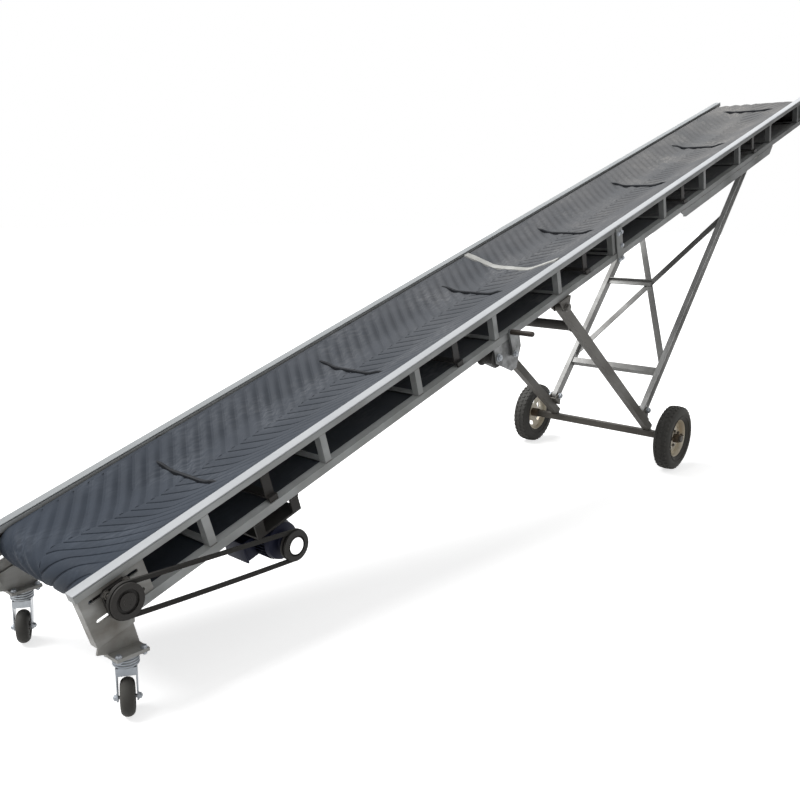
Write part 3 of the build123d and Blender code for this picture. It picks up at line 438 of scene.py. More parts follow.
PULLEY_FACE = Finish(
    "pulley_face", (0.95, 0.95, 0.95), (0.92, 0.92, 0.92), (0.97, 0.97, 0.97), (0.7, 0.7, 0.7),
    Grain.MOTTLE, 120, 0.04, (0.10, 0.16), metallic=1.0, bump=0.02)
GRIP_RUBBER = Finish(
    "grip_rubber", (0.040, 0.032, 0.026), (0.060, 0.048, 0.038), (0.14, 0.12, 0.10), (0.02, 0.017, 0.014),
    Grain.SCUFFED, 50, 0.3, (0.5, 0.7), specular=0.3)

SLOT_FINISH = {
    Slot.GALVANISED: WEATHERED,
    Slot.LEG_STEEL: LEG_STEEL,
    Slot.ZINC: BRIGHT_ZINC,
    Slot.DARK_STEEL: DARK_STEEL,
    Slot.MOTOR_PAINT: MOTOR_PAINT,
    Slot.BELT_RUBBER: BELT_RUBBER,
    Slot.PALE_RUBBER: PALE_RUBBER,
    Slot.TYRE_RUBBER: TYRE_RUBBER,
    Slot.RIM_PAINT: RIM_PAINT,
}
NODE_FINISH = {
    # The cross tube's near-black colour is painted shade.
    "front_cross_tube": SHADE_DARK_TUBE,
    "front_leg_left": TAN_STEEL,
    "front_leg_right": TAN_STEEL,
    "axle_beam": TAN_STEEL,
    # The right rear leg takes a paler copy of the leg steel: painted light.
    "rear_leg_right": LIT_LEG_STEEL,
    "winch_frame": DULL_ZINC,
    "tail_plates": GRIMY_STEEL,
    # The motor mount takes near-black steel: painted shade under the boom.
    "motor_mount": DARK_STEEL,
    # The leg brackets take the dark leg steel: painted shade under the frame.
    "leg_brackets": TAN_STEEL,
    "caster_brackets": GRIMY_STEEL,
    # The idler frames take near-black steel: painted shade inside the frame.
    "idler_frames": DARK_STEEL,
}


class Sketch:
    """A mesh in the making: skins, turned forms and prisms that end up as one piece."""

    def __init__(self) -> None:
        """Starts an empty mesh."""
        self.mesh = bmesh.new()

    def skin(self, rings: Sequence[Sequence[Vector]], looped: bool = False) -> None:
        """Joins closed rings of points into a skin, with a cap at each end unless it is looped.

        Args:
            rings: Rings with equal numbers of points, in order along the form.
            looped: True where the last ring meets the first.
        """
        rows = [[self.mesh.verts.new(point) for point in ring] for ring in rings]
        pairs = list(zip(rows, rows[1:] + rows[:1]))
        for first, second in pairs if looped else pairs[:-1]:
            for i, corner in enumerate(first):
                j = (i + 1) % len(first)
                self.mesh.faces.new((corner, first[j], second[j], second[i]))
        if not looped:
            self.mesh.faces.new(rows[0][::-1])
            self.mesh.faces.new(rows[-1])

    def spindle(self, profile: Outline, foot: Vector, axis: Vector, sides: int) -> None:
        """Solid turned form.

        Args:
            profile: (radius, height along the axis) of each circle, from one end to the other.
            foot: Where the axis has height 0.
            axis: Direction of the axis.
            sides: Corners of each circle.
        """
        place = axis_frame(foot, axis)
        angles = [tau * i / sides for i in range(sides)]
        self.skin([[place @ Vector((r * cos(a), r * sin(a), z)) for a in angles] for r, z in profile])

    def hoop(self, profile: Outline, foot: Vector, axis: Vector, sides: int = 48) -> None:
        """Ring turned from a closed outline.

        Args:
            profile: Closed outline of (radius, height along the axis) points.
            foot: Where the axis has height 0.
            axis: Direction of the axis.
            sides: Steps of the turn.
        """
        place = axis_frame(foot, axis)
        angles = [tau * i / sides for i in range(sides)]
        rings = [[place @ Vector((r * cos(a), r * sin(a), z)) for r, z in profile] for a in angles]
        self.skin(rings, looped=True)

    def absorb(self, other: bmesh.types.BMesh) -> None:
        """Takes over a mesh that was made apart.

        Args:
            other: The mesh, which is freed.
        """
        loose = bpy.data.meshes.new("loose")
        other.to_mesh(loose)
        other.free()
        self.mesh.from_mesh(loose)
        bpy.data.meshes.remove(loose)

    def prism(self, outline: Outline, place: Matrix, depth: float, bevel: float = 0.0) -> None:
        """Outline in a place's XY, as deep as given along its Z.

        Args:
            outline: Corners of the outline.
            place: Where the outline lies.
            depth: Height of the prism.
            bevel: Width of the rounding on all its edges.
        """
        block = bmesh.new()
        rows = [[block.verts.new(place @ Vector((x, y, z))) for x, y in outline] for z in (0, depth)]
        block.faces.new(rows[0][::-1])
        block.faces.new(rows[1])
        for i in range(len(outline)):
            j = (i + 1) % len(outline)
            block.faces.new((rows[0][i], rows[0][j], rows[1][j], rows[1][i]))
        if bevel:
            bmesh.ops.bevel(block, geom=block.edges[:], offset=bevel, segments=2, affect="EDGES", profile=0.5)
        self.absorb(block)

    def box(self, low: Vector, high: Vector, place: Matrix, bevel: float = 0.0) -> None:
        """Block between two corners of a place's own axes."""
        corners = [(low[0], low[1]), (high[0], low[1]), (high[0], high[1]), (low[0], high[1])]
        self.prism(corners, place @ Matrix.Translation((0, 0, low[2])), high[2] - low[2], bevel)

    def bolt(self, seat: Vector, axis: Vector, size: float, stub: float = 0.0) -> None:
        """Hexagon head on a washer, with a threaded stub where it is a nut.

        Args:
            seat: Where the washer's face meets the plate.
            axis: Direction out of the plate.
            size: The bolt's diameter.
            stub: How far the thread stands out of the nut.
        """
        rim = 1.15 * size
        washer = 0.2 * size
        corner = 0.98 * size
        top = washer + 0.68 * size
        self.spindle([(rim, -0.0005), (rim, washer), (1.05 * size, 1.15 * washer)], seat, axis, 20)
        self.spindle([(corner, washer), (corner, top - 0.12 * size), (0.84 * size, top)], seat, axis, 6)
        if stub:
            thread = 0.46 * size
            tip = top + stub
            self.spindle([(thread, washer), (thread, tip - 0.1 * size), (0.36 * size, tip)], seat, axis, 14)

    def weld(self, start: Vector, end: Vector, radius: float) -> None:
        """Bead of weld with its ripples.

        Args:
            start: One end of the bead.
            end: The other end.
            radius: The bead's mean radius.
        """
        ripple = 0.005
        sides = 7
        run = end - start
        steps = max(4, 2 * round(run.length / ripple))
        place = axis_frame(start, run)
        angles = [tau * k / sides for k in range(sides)]
        rings = []
        for i in range(steps + 1):
            reach = radius * (0.45 if i in (0, steps) else 0.88 + 0.24 * (i % 2))
            along = run.length * i / steps
            rings.append([place @ Vector((reach * cos(a), reach * sin(a), along)) for a in angles])
        self.skin(rings)

    def piece(
        self, name: str, finish: Finish, body: str, slot: Slot, replaces: Sequence[str] = ()
    ) -> Piece:
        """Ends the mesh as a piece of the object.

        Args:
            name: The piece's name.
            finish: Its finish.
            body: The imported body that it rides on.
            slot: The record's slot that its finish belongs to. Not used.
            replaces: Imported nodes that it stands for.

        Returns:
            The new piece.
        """
        bmesh.ops.recalc_face_normals(self.mesh, faces=self.mesh.faces[:])
        mesh = bpy.data.meshes.new(name)
        self.mesh.to_mesh(mesh)
        self.mesh.free()
        mesh.polygons.foreach_set("use_smooth", [True] * len(mesh.polygons))
        mesh.set_sharp_from_angle(angle=SMOOTH_ANGLE)
        mesh.materials.append(finish.material())
        made = bpy.data.objects.new(name, mesh)
        bpy.context.scene.collection.objects.link(made)
        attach(made, body)
        if replaces:
            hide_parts(*replaces)
        return made


def axis_frame(foot: Vector, axis: Vector) -> Matrix:
    """Place whose Z runs along an axis.

    Args:
        foot: The place's origin.
        axis: Direction of its Z.

    Returns:
        The place's matrix.
    """
    z = axis.normalized()
    x = ACROSS.cross(z) if abs(z.dot(ACROSS)) < 0.9 else Vector((1, 0, 0))
    x = (x - z * x.dot(z)).normalized()
    return frame_of(foot, x, z.cross(x))


def frame_of(origin: Vector, x: Vector, y: Vector) -> Matrix:
    """Place with the given X and Y directions.

    Args:
        origin: The place's origin.
        x: Direction of its X.
        y: Direction of its Y.

    Returns:
        The place's matrix.
    """
    place = Matrix((x, y, x.cross(y))).transposed().to_4x4()
    place.translation = origin
    return place


def joint(name: str) -> tuple[Vector, Vector]:
    """A point of a joint's axis at rest, and the axis."""
    found = next(one for one in frame["joints"] if one["name"] == name)
    return Vector(found["pos_m"]), Vector(found["axis"]).normalized()


@dataclass(frozen=True)
class Boom:
    """The inclined frame's own coordinates and its main sizes."""

    incline: float = radians(17.5)
    length: float = 6.6
    depth: float = 0.182
    chord_wall: float = 0.005
    top_leg: float = 0.030
    bottom_leg: float = 0.032
    post_width: float = 0.032
    post_first: float = 0.507
    post_pitch: float = 0.5843
    post_count: int = 6
    joint_gap: float = 0.065

    @property
    def half_width(self) -> float:
        """Half of the frame's width over its chords."""
        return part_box("top_chords")[1].y

    @property
    def seat(self) -> float:
        """Height of the bottom chords' upper face, where the posts stand."""
        return self.bottom_leg - self.depth

    @property
    def along(self) -> Vector:
        """Direction from tail to head."""
        return Vector((cos(self.incline), 0, sin(self.incline)))

    @property
    def upward(self) -> Vector:
        """Direction square to the belt."""
        return Vector((-sin(self.incline), 0, cos(self.incline)))

    @property
    def tail(self) -> Vector:
        """The top edge's tail end, in the middle of the width."""
        low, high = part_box("top_chords")
        return Vector((low.x, 0, high.z - self.length * sin(self.incline)))

    def point(self, s: float, y: float, h: float) -> Vector:
        """A point of the part's frame from boom coordinates."""
        return self.tail + self.along * s + ACROSS * y + self.upward * h

    def place(self, s: float, y: float, h: float) -> Matrix:
        """Place at a boom point, with X along the boom, Y across and Z square to the belt."""
        return frame_of(self.point(s, y, h), self.along, ACROSS)

    def posts(self) -> list[float]:
        """Places of the posts along the boom, for both bolted sections."""
        rows = (self.post_first, self.post_first + (self.post_count - 1) * self.post_pitch + self.joint_gap)
        return [start + self.post_pitch * i for start in rows for i in range(self.post_count)]


BOOM = Boom()


class Assembly(ABC):
    """A sub-assembly that builds and dresses its own pieces."""

    @abstractmethod
    def build(self) -> list[Piece]:
        """Makes all its pieces, in order."""


@dataclass
class Belt(Assembly):
    """Endless troughed belt with chevron ribs, cleats and the pale strip over its joint."""

    tail_axis: float = 0.130
    head_axis: float = 6.515
    drum_height: float = -0.092
    drum_radius: float = 0.065
    wall: float = 0.007
    half_width: float = 0.300
    edge_height: float = -0.010
    edge_soft: float = 0.0015
    trough: float = radians(20)
    flat: float = 0.080
    knee: float = 0.060
    transition: float = 0.400
    cleat_count: int = 14
    cleat_start: float = 0.595
    cleat_half: float = 0.195
    cleat_height: float = 0.015
    cleat_width: float = 0.018
    cleat_taper: float = 0.05
    rib_pitch: float = 0.066
    rib_share: float = 0.47
    rib_slope: float = 0.8
    rib_heights: Pair = (0.0066, 0.0048)
    rib_reach: float = 0.285
    rib_taper: float = 0.060
    strip_share: float = 2.39
    strip_width: float = 0.045
    strip_wall: float = 0.0080
    strip_soft: float = 0.003

    @property
    def run(self) -> float:
        """Length of one straight run between the drums' axes."""
        return self.head_axis - self.tail_axis

    @property
    def wrap(self) -> float:
        """Length of the belt round half a drum."""
        return pi * (self.drum_radius + self.wall / 2)

    @property
    def total(self) -> float:
        """Length of the whole loop."""
        return 2 * (self.run + self.wrap)

    def troughed(self, u: float) -> Triple:
        """Half a troughed section.

        Args:
            u: Distance from the middle along the section.

        Returns:
            Y, rise above the middle, and slope angle there.
        """
        if u <= self.flat:
            return u, 0.0, 0.0
        bent = min(u - self.flat, self.knee)
        angle = self.trough * bent / self.knee
        bend_radius = self.knee / self.trough
        wing = u - self.flat - bent
        y = self.flat + bend_radius * sin(angle) + wing * cos(angle)
        rise = bend_radius * (1 - cos(angle)) + wing * sin(angle)
        return y, rise, angle

    def place(self, travel: float, u: float, lift: float) -> Vector:
        """A point over the belt's carrying face.

        Args:
            travel: Distance along the loop from the tail drum's top.
            u: Signed distance from the middle along the section.
            lift: Height above the face.

        Returns:
            The point in the part's frame.
        """
        travel %= self.total
        outer = self.drum_radius + self.wall
        if travel < self.run:
            share = min(1.0, travel / self.transition, (self.run - travel) / self.transition)
            deep_y, rise, angle = self.troughed(abs(u))
            base = self.edge_height - self.troughed(self.half_width)[1]
            flat_h = self.drum_height + outer
            y = abs(u) + share * (deep_y - abs(u)) - lift * sin(angle * share)
            h = flat_h + share * (base + rise - flat_h) + lift * cos(angle * share)
            return BOOM.point(self.tail_axis + travel, y if u >= 0 else -y, h)
        travel -= self.run
        reach = outer + lift
        if travel < self.wrap:
            angle = pi * travel / self.wrap
            return BOOM.point(self.head_axis + reach * sin(angle), u, self.drum_height + reach * cos(angle))
        travel -= self.wrap
        if travel < self.run:
            return BOOM.point(self.head_axis - travel, u, self.drum_height - reach)
        angle = pi * (travel - self.run) / self.wrap
        return BOOM.point(self.tail_axis - reach * sin(angle), u, self.drum_height - reach * cos(angle))

    def stations(self) -> list[float]:
        """Where the loop's skin has its rings.

        Returns:
            Distances along the loop.
        """
        middle = self.run - 2 * self.transition
        steps = ((self.transition, 10), (middle, 24), (self.transition, 10), (self.wrap, 16), (self.run, 24),
                 (self.wrap, 16))
        found = []
        start = 0.0
        for length, count in steps:
            found += [start + length * i / count for i in range(count)]
            start += length
        return found

    def body(self) -> Piece:
        """The carcass: a smooth loop with soft edges.

        Returns:
            The piece that stands for the belt.
        """
        across = 32
        inset = self.half_width - self.edge_soft
        top = [(-inset + 2 * inset * i / across, 0.0) for i in range(across + 1)]
        edge = [(self.half_width, -self.edge_soft), (self.half_width, self.edge_soft - self.wall)]
        low = [(u, -self.wall) for u, _ in reversed(top)]
        section = top + edge + low + [(-u, lift) for u, lift in reversed(edge)]
        sketch = Sketch()
        sketch.skin([[self.place(t, u, lift) for u, lift in section] for t in self.stations()], looped=True)
        return sketch.piece("belt_carcass", BELT_RUBBER, Body.BOOM, Slot.BELT_RUBBER, ["belt"])

    def ribs(self) -> Piece:
        """Chevron ribs with their points towards the tail: round on the left half, worn flat on the right.

        Returns:
            The piece with all ribs.
        """
        steps = 12
        root = -0.2
        tip = 0.05
        count = round(self.total / self.rib_pitch)
        half = self.rib_share * self.rib_pitch
        round_top = [(share, (1 + cos(pi * share)) / 2) for share in (0.75, 0.5, 0.25, 0, -0.25, -0.5, -0.75)]
        flat_top = [(0.88, 0.62), (0.64, 0.92), (0.2, 1), (0, 1), (-0.2, 1), (-0.64, 0.92), (-0.88, 0.62)]
        sketch = Sketch()
        for side, top, rise in zip(Side, (round_top, flat_top), self.rib_heights):
            outline = [(-1, root), (1, root), *top]
            for i in range(count):
                rings = []
                for step in range(steps + 1):
                    u = self.rib_reach * step / steps
                    at = self.total * i / count + self.rib_slope * u
                    height = rise * min(1.0, tip + (self.rib_reach - u) / self.rib_taper)
                    offset = side.value * u
                    rings.append([self.place(at + half * a, offset, height * up) for a, up in outline])
                sketch.skin(rings)
        return sketch.piece("belt_ribs", BELT_RUBBER, Body.BOOM, Slot.BELT_RUBBER)

    def cleats(self) -> Piece:
        """Cross cleats with tapered ends.

        Returns:
            The piece with all cleats.
        """
        steps = 28
        tip = 0.28
        outline = ((-1, -0.08), (-0.92, 0.4), (-0.6, 0.86), (0, 1), (0.6, 0.86), (0.92, 0.4), (1, -0.08))
        pitch = self.total / self.cleat_count
        sketch = Sketch()
        for index in range(self.cleat_count):
            at = (self.cleat_start + index) * pitch
            rings = []
            for i in range(steps + 1):
                u = self.cleat_half * (2 * i / steps - 1)
                full = min(1.0, tip + (self.cleat_half - abs(u)) / self.cleat_taper)
                half = self.cleat_width / 2 * (0.5 + 0.5 * full)
                height = self.cleat_height * full
                rings.append([self.place(at + half * across, u, height * up) for across, up in outline])
            sketch.skin(rings)
        return sketch.piece("belt_cleats", CLEAT_RUBBER, Body.BOOM, Slot.BELT_RUBBER)

    def strip(self) -> Piece:
        """Pale strip glued across the belt's joint, cut by hand and so a little wavy.

        Returns:
            The piece that stands for the strip.
        """
        steps = 40
        root = -0.0005
        reach = self.half_width - 0.001
        middle = (self.cleat_start + self.strip_share) * self.total / self.cleat_count
        rings = []
        for i in range(steps + 1):
            u = reach * (2 * i / steps - 1)
            half = self.strip_width / 2 * (1 + 0.06 * sin(31 * u) + 0.04 * sin(83 * u))
            drift = 0.004 * sin(9 * u)
            crown = half - self.strip_soft
            outline = ((-half, root), (half, root), (crown, self.strip_wall), (-crown, self.strip_wall))
            rings.append([self.place(middle + drift + step, u, lift) for step, lift in outline])
        sketch = Sketch()
        sketch.skin(rings)
        return sketch.piece("belt_strip", PALE_RUBBER, Body.BOOM, Slot.PALE_RUBBER, ["belt_joint_strip"])

    def build(self) -> list[Piece]:
        """Makes all pieces of the belt."""
        return [self.body(), self.ribs(), self.cleats(), self.strip()]


@dataclass
class Frame(Assembly):
    """The ladder frame's top rails, and its welds, joint bolts, bearing bolts and rings."""

    rail_width: float = 0.045
    rail_cap: float = 0.006
    cap_soft: float = 0.0025
    box_inset: float = 0.0006
    box_soft: float = 0.0028
    splice_middle: float = 3.4795
    splice_bolts: tuple[Pair, ...] = (
        (-0.017, -0.045), (0.019, -0.045), (0.019, -0.118), (-0.017, -0.192), (0.019, -0.192))
    splice_wall: float = 0.006
    splice_bolt: float = 0.011
    bearing_axes: Pair = (0.130, 6.515)
    bearing_height: float = -0.092
    bearing_bolt: float = 0.037
    bearing_flange: float = 0.014
    bearing_depth: float = 0.032
    bearing_boss: float = 0.032
    flange_bolt: float = 0.013
    flange_stub: float = 0.009
    shaft_radius: float = 0.015
    post_bead: float = 0.0028
    track_bead: float = 0.003
    track_span: Pair = (4.300, 5.855)
    track_weld: float = 0.060
    track_welds: int = 6

    def rail(self, low: Pair, high: Pair, span: Pair, soft: float) -> Sketch:
        """Straight bar along the boom with rounded corners.

        Args:
            low: Least y and h of its section.
            high: Greatest y and h of its section.
            span: Its ends along the boom.
            soft: Radius of the corners.

        Returns:
            The bar's mesh.
        """
        outline = []
        corners = ((high[0], high[1]), (low[0], high[1]), (low[0], low[1]), (high[0], low[1]))
        for quarter, (y, h) in enumerate(corners):
            middle = (y + (soft if y == low[0] else -soft), h + (soft if h == low[1] else -soft))
            for step in range(4):
                angle = pi / 2 * (quarter + step / 3)
                outline.append((middle[0] + soft * cos(angle), middle[1] + soft * sin(angle)))
        sketch = Sketch()
        sketch.skin([[BOOM.point(s, y, h) for y, h in outline] for s in span])
        return sketch

    def rails(self) -> list[Piece]:
        """Top rails: a bright cap on a dull box on each side. The left cap is painted darker than the right one,
        as painted shade.

        Returns:
            The caps, of which the first stands for the top chords, and the boxes.
        """
        made = []
        outer = BOOM.half_width
        inner = outer - self.rail_width
        # The left cap's darker zinc is painted shade on the same zinc as the right cap.
        finishes = {Side.LEFT: SHADED_ZINC, Side.RIGHT: GALVANISED}
        for side, finish in finishes.items():
            rows = (("cap", finish, 0.0, -self.rail_cap, 0.0, self.cap_soft),
                    ("box", WEATHERED, self.box_inset, -BOOM.top_leg, -self.rail_cap, self.box_soft))
            for kind, look, inset, low, high, soft in rows:
                span = sorted((side.value * (inner + inset), side.value * (outer - inset)))
                sketch = self.rail((span[0], low), (span[1], high), (inset, BOOM.length - inset), soft)
                replaced = [] if made else ["top_chords"]
                name = f"rail_{kind}_{side.label}"
                made.append(sketch.piece(name, look, Body.BOOM, Slot.GALVANISED, replaced))
        return made

    def welds(self) -> Piece:
        """Short beads where each post meets the chords, and where the tracks lap them.

        Returns:
            The piece with all beads.
        """
        sketch = Sketch()
        half = BOOM.post_width / 2
        first, last = self.track_span
        pitch = (last - first - self.track_weld) / (self.track_welds - 1)
        for side in Side:
            face = side.value * (BOOM.half_width - BOOM.chord_wall)
            for s in BOOM.posts():
                for h in (-BOOM.top_leg, BOOM.seat):
                    sketch.weld(BOOM.point(s - half, face, h), BOOM.point(s + half, face, h), self.post_bead)
            outer = side.value * BOOM.half_width
            for i in range(self.track_welds):
                start = BOOM.point(first + pitch * i, outer, -BOOM.depth)
                sketch.weld(start, start + BOOM.along * self.track_weld, self.track_bead)
        return sketch.piece("frame_welds", WELD_STEEL, Body.BOOM, Slot.GALVANISED)

    def joint_bolts(self) -> Piece:
        """Bolts of the section joint's plates.

        Returns:
            The piece with all bolts.
        """
        sketch = Sketch()
        for side in Side:
            face = side.value * (BOOM.half_width + self.splice_wall)
            for column, h in self.splice_bolts:
                seat = BOOM.point(self.splice_middle + column, face, h)
                sketch.bolt(seat, ACROSS * side.value, self.splice_bolt)
        return sketch.piece("joint_bolts", BRIGHT_ZINC, Body.BOOM, Slot.ZINC)

    def bearing_hardware(self) -> Piece:
        """Four bolts, an inner ring and a grease nipple on each flange bearing.

        Returns:
            The piece with all of them.
        """
        bore = self.shaft_radius + FIT
        ring = [(bore, -0.002), (0.023, -0.002), (0.023, 0.002), (0.021, 0.0035), (bore, 0.0035)]
        nipple = [(0.004, -0.002), (0.004, 0.004), (0.0025, 0.006), (0.0033, 0.009), (0.002, 0.012)]
        chord = BOOM.half_width - BOOM.chord_wall
        sketch = Sketch()
        for side in Side:
            axis = ACROSS * side.value
            face = side.value * (chord + self.bearing_flange)
            end = side.value * (chord + self.bearing_depth)
            middle = side.value * (chord + (self.bearing_flange + self.bearing_depth) / 2)
            for s in self.bearing_axes:
                for ds in (-self.bearing_bolt, self.bearing_bolt):
                    for dh in (-self.bearing_bolt, self.bearing_bolt):
                        seat = BOOM.point(s + ds, face, self.bearing_height + dh)
                        sketch.bolt(seat, axis, self.flange_bolt, self.flange_stub)
                sketch.hoop(ring, BOOM.point(s, end, self.bearing_height), axis, 32)
                top = BOOM.point(s, middle, self.bearing_height + self.bearing_boss)
                sketch.spindle(nipple, top, BOOM.upward, 12)
        return sketch.piece("bearing_hardware", GREASY_STEEL, Body.BOOM, Slot.ZINC)

    def build(self) -> list[Piece]:
        """Makes the rails and all hardware of the frame."""
        return [*self.rails(), self.welds(), self.joint_bolts(), self.bearing_hardware()]


@dataclass
class Drive(Assembly):
    """Motor, grooved pulleys and the slack drive belt between them."""

    motor_s: float = 0.795
    motor_h: float = -0.330
    near: float = -0.345
    far: float = -0.050
    radius: float = 0.078
    fin_count: int = 36
    fin_depth: float = 0.011
    fin_half: float = 0.0014
    fin_start: float = 0.038
    fin_stop: float = 0.098
    fin_soft: float = 0.0008
    grille_rings: int = 4
    grille_first: float = 0.014
    grille_pitch: float = 0.013
    grille_bar: float = 0.006
    grille_spokes: int = 6
    foot_top: float = -0.250
    foot_span: Pair = (0.030, 0.062)
    foot_web: Pair = (0.034, 0.044)
    foot_near: float = 0.062
    foot_far: float = 0.155
    foot_width: float = 0.050
    foot_wall: float = 0.012
    foot_soft: float = 0.002
    web_inset: float = 0.005
    web_low: float = 0.045
    web_lap: float = 0.010
    box_half: Pair = (0.057, 0.042)
    box_depth: float = 0.041
    box_sink: float = 0.014
    box_soft: float = 0.006
    lid_rim: float = 0.003
    lid_wall: float = 0.009
    lid_soft: float = 0.003
    tail_s: float = 0.130
    tail_h: float = -0.092
    tail_shaft: float = 0.015
    plane: float = -0.392
    face: float = 0.026
    driven_radius: float = 0.060
    motor_pulley_radius: float = 0.059
    groove: float = 0.0055
    groove_depth: float = 0.012
    shaft: float = 0.014
    sag: float = 0.003
    belt_seat: float = 0.004
    belt_fit: float = 0.0004
    belt_crown: float = 0.0075
    belt_foot: float = -0.0080
    belt_narrow: float = 0.72
    cover_radius: float = 0.033
    plate_wall: float = 0.008
    foot_bolt: float = 0.010
    foot_stub: float = 0.006
    foot_bolt_reach: float = 0.048
    bar_bolt: float = 0.012
    bar_bolt_place: Pair = (0.090, 0.325)

    @property
    def length(self) -> float:
        """Length of the motor over bell and cowl."""
        return self.far - self.near

    def centre(self, y: float) -> Vector:
        """A point of the motor's axis."""
        return BOOM.point(self.motor_s, y, self.motor_h)

    def spokes(self, count: int) -> list[Matrix]:
        """Places at the motor's near end, turned evenly about its axis."""
        foot = Matrix.Translation(self.centre(self.near))
        return [foot @ Matrix.Rotation(tau * i / count, 4, "Y") for i in range(count)]

    def shell(self, sketch: Sketch) -> None:
        """Bell, core, cowl with its grille, and fins.

        Args:
            sketch: The motor's mesh.
        """
        foot = self.centre(self.near)
        core = self.radius - self.fin_depth
        bell = [(0.030, 0.0), (0.034, 0.004), (0.058, 0.006), (0.071, 0.014), (0.074, 0.026), (0.074, 0.036)]
        shield = [(core, self.fin_stop), (0.074, 0.096), (0.074, 0.082), (0.070, 0.080)]
        body = [*bell, (core, self.fin_start), *((r, self.length - back) for r, back in shield)]
        sketch.spindle(body, foot, ACROSS, 48)
        cowl = [(0.060, 0.084), (0.0755, 0.084), (0.0775, 0.080), (0.0775, 0.020), (0.072, 0.006),
                (0.062, 0.0), (0.060, 0.002)]
        sketch.hoop([(r, self.length - back) for r, back in cowl], foot, ACROSS, 48)
        for ring in range(self.grille_rings):
            inner = self.grille_first + self.grille_pitch * ring
            outer = inner + self.grille_bar
            bar = [(inner, 0.005), (outer, 0.005), (outer, 0.002), (inner, 0.002)]
            sketch.hoop([(r, self.length - back) for r, back in bar], foot, ACROSS, 36)
        for place in self.spokes(self.grille_spokes):
            low = Vector((0.012, self.length - 0.006, -0.002))
            sketch.box(low, Vector((0.062, self.length - 0.003, 0.002)), place)
        for place in self.spokes(self.fin_count):
            low = Vector((core - 0.003, self.fin_start, -self.fin_half))
            high = Vector((self.radius, self.length - self.fin_stop, self.fin_half))
            sketch.box(low, high, place, self.fin_soft)

    def feet(self, sketch: Sketch) -> None:
        """Four foot pads, each with its web.

        Args:
            sketch: The motor's mesh.
        """
        place = BOOM.place(self.motor_s, 0, self.motor_h)
        rise = self.foot_top - self.motor_h
        for turn in (-1, 1):
            inner, outer = sorted(turn * edge for edge in self.foot_span)
            web_inner, web_outer = sorted(turn * edge for edge in self.foot_web)
            for y in (self.near + self.foot_near, self.far - self.foot_far):
                low = Vector((inner, y, rise - self.foot_wall))
                sketch.box(low, Vector((outer, y + self.foot_width, rise)), place, self.foot_soft)
                low = Vector((web_inner, y + self.web_inset, self.web_low))
                end = y + self.foot_width - self.web_inset
                sketch.box(low, Vector((web_outer, end, rise - self.web_lap)), place, self.foot_soft)

    def terminal_box(self, sketch: Sketch) -> None:
        """Terminal box on the tail side, with its lid.

        Args:
            sketch: The motor's mesh.
        """
        place = BOOM.place(self.motor_s, 0, self.motor_h)
        middle = (self.near + self.far) / 2
        lid = -self.radius - self.box_depth
        long, high = self.box_half
        low = Vector((lid, middle - long, -high))
        sketch.box(low, Vector((self.box_sink - self.radius, middle + long, high)), place, self.box_soft)
        long += self.lid_rim
        high += self.lid_rim
        low = Vector((lid - self.lid_wall, middle - long, -high))
        sketch.box(low, Vector((lid, middle + long, high)), place, self.lid_soft)

    def motor(self) -> Piece:
        """Finned motor with bell, fan cowl, feet, terminal box and shaft.

        Returns:
            The piece that stands for the motor.
        """
        sketch = Sketch()
        self.shell(sketch)
        self.feet(sketch)
        self.terminal_box(sketch)
        end = self.near - self.plane + self.face / 2
        shaft = [(self.shaft, -0.01), (self.shaft, end - 0.001), (self.shaft - 0.001, end)]
        sketch.spindle(shaft, self.centre(self.near), -ACROSS, 24)
        return sketch.piece("motor", MOTOR_PAINT, Body.BOOM, Slot.MOTOR_PAINT, ["drive_motor"])

    def pulley_outline(self, radius: float, bore: float) -> Outline:
        """Outline of a pulley with hub, web, rim and groove.

        Args:
            radius: The rim's radius.
            bore: The hub's inner radius.

        Returns:
            Closed outline of (radius, y) points.
        """
        half = self.face / 2
        hub = bore + 0.013
        inner = radius - self.groove_depth - 0.007
        floor = 0.6 * self.groove
        web = 0.005
        side = [(bore, half), (hub, half), (hub, web), (inner, web), (inner, half), (radius, half),
                (radius, self.groove), (radius - self.groove_depth, floor)]
        return [(r, -y) for r, y in side] + [(r, y) for r, y in reversed(side)]

    def pulleys(self) -> Piece:
        """Driven pulley on the tail shaft and driving pulley on the motor.

        Returns:
            The piece that stands for the pulleys.
        """
        sketch = Sketch()
        driven = self.pulley_outline(self.driven_radius, self.tail_shaft + FIT)
        driving = self.pulley_outline(self.motor_pulley_radius, self.shaft + FIT)
        sketch.hoop(driven, BOOM.point(self.tail_s, self.plane, self.tail_h), ACROSS)
        sketch.hoop(driving, self.centre(self.plane), ACROSS)
        return sketch.piece("pulleys", DARK_STEEL, Body.BOOM, Slot.DARK_STEEL, ["drive_pulleys"])

    def pulley_face(self) -> Piece:
        """Pale cover inside the driving pulley's rim.

        Returns:
            The piece.
        """
        cover = [(self.cover_radius, 0.004), (self.cover_radius, 0.0125), (self.cover_radius - 0.0015, 0.014)]
        sketch = Sketch()
        sketch.spindle(cover, self.centre(self.plane), -ACROSS, 40)
        return sketch.piece("pulley_face", PULLEY_FACE, Body.BOOM, Slot.ZINC)

    def wrap(self, s: float, h: float, radius: float, start: float) -> list[Triple]:
        """Half a turn of the drive belt's centre line round a pulley.

        Args:
            s: The pulley's place along the boom.
            h: The pulley's height.
            radius: The pulley's radius.
            start: Angle where the belt meets the pulley.

        Returns:
            (s, h, angle of the outward direction) of each point.
        """
        steps = 24
        reach = radius - self.belt_seat
        angles = [start - pi * i / steps for i in range(steps + 1)]
        return [(s + reach * cos(a), h + reach * sin(a), a) for a in angles]

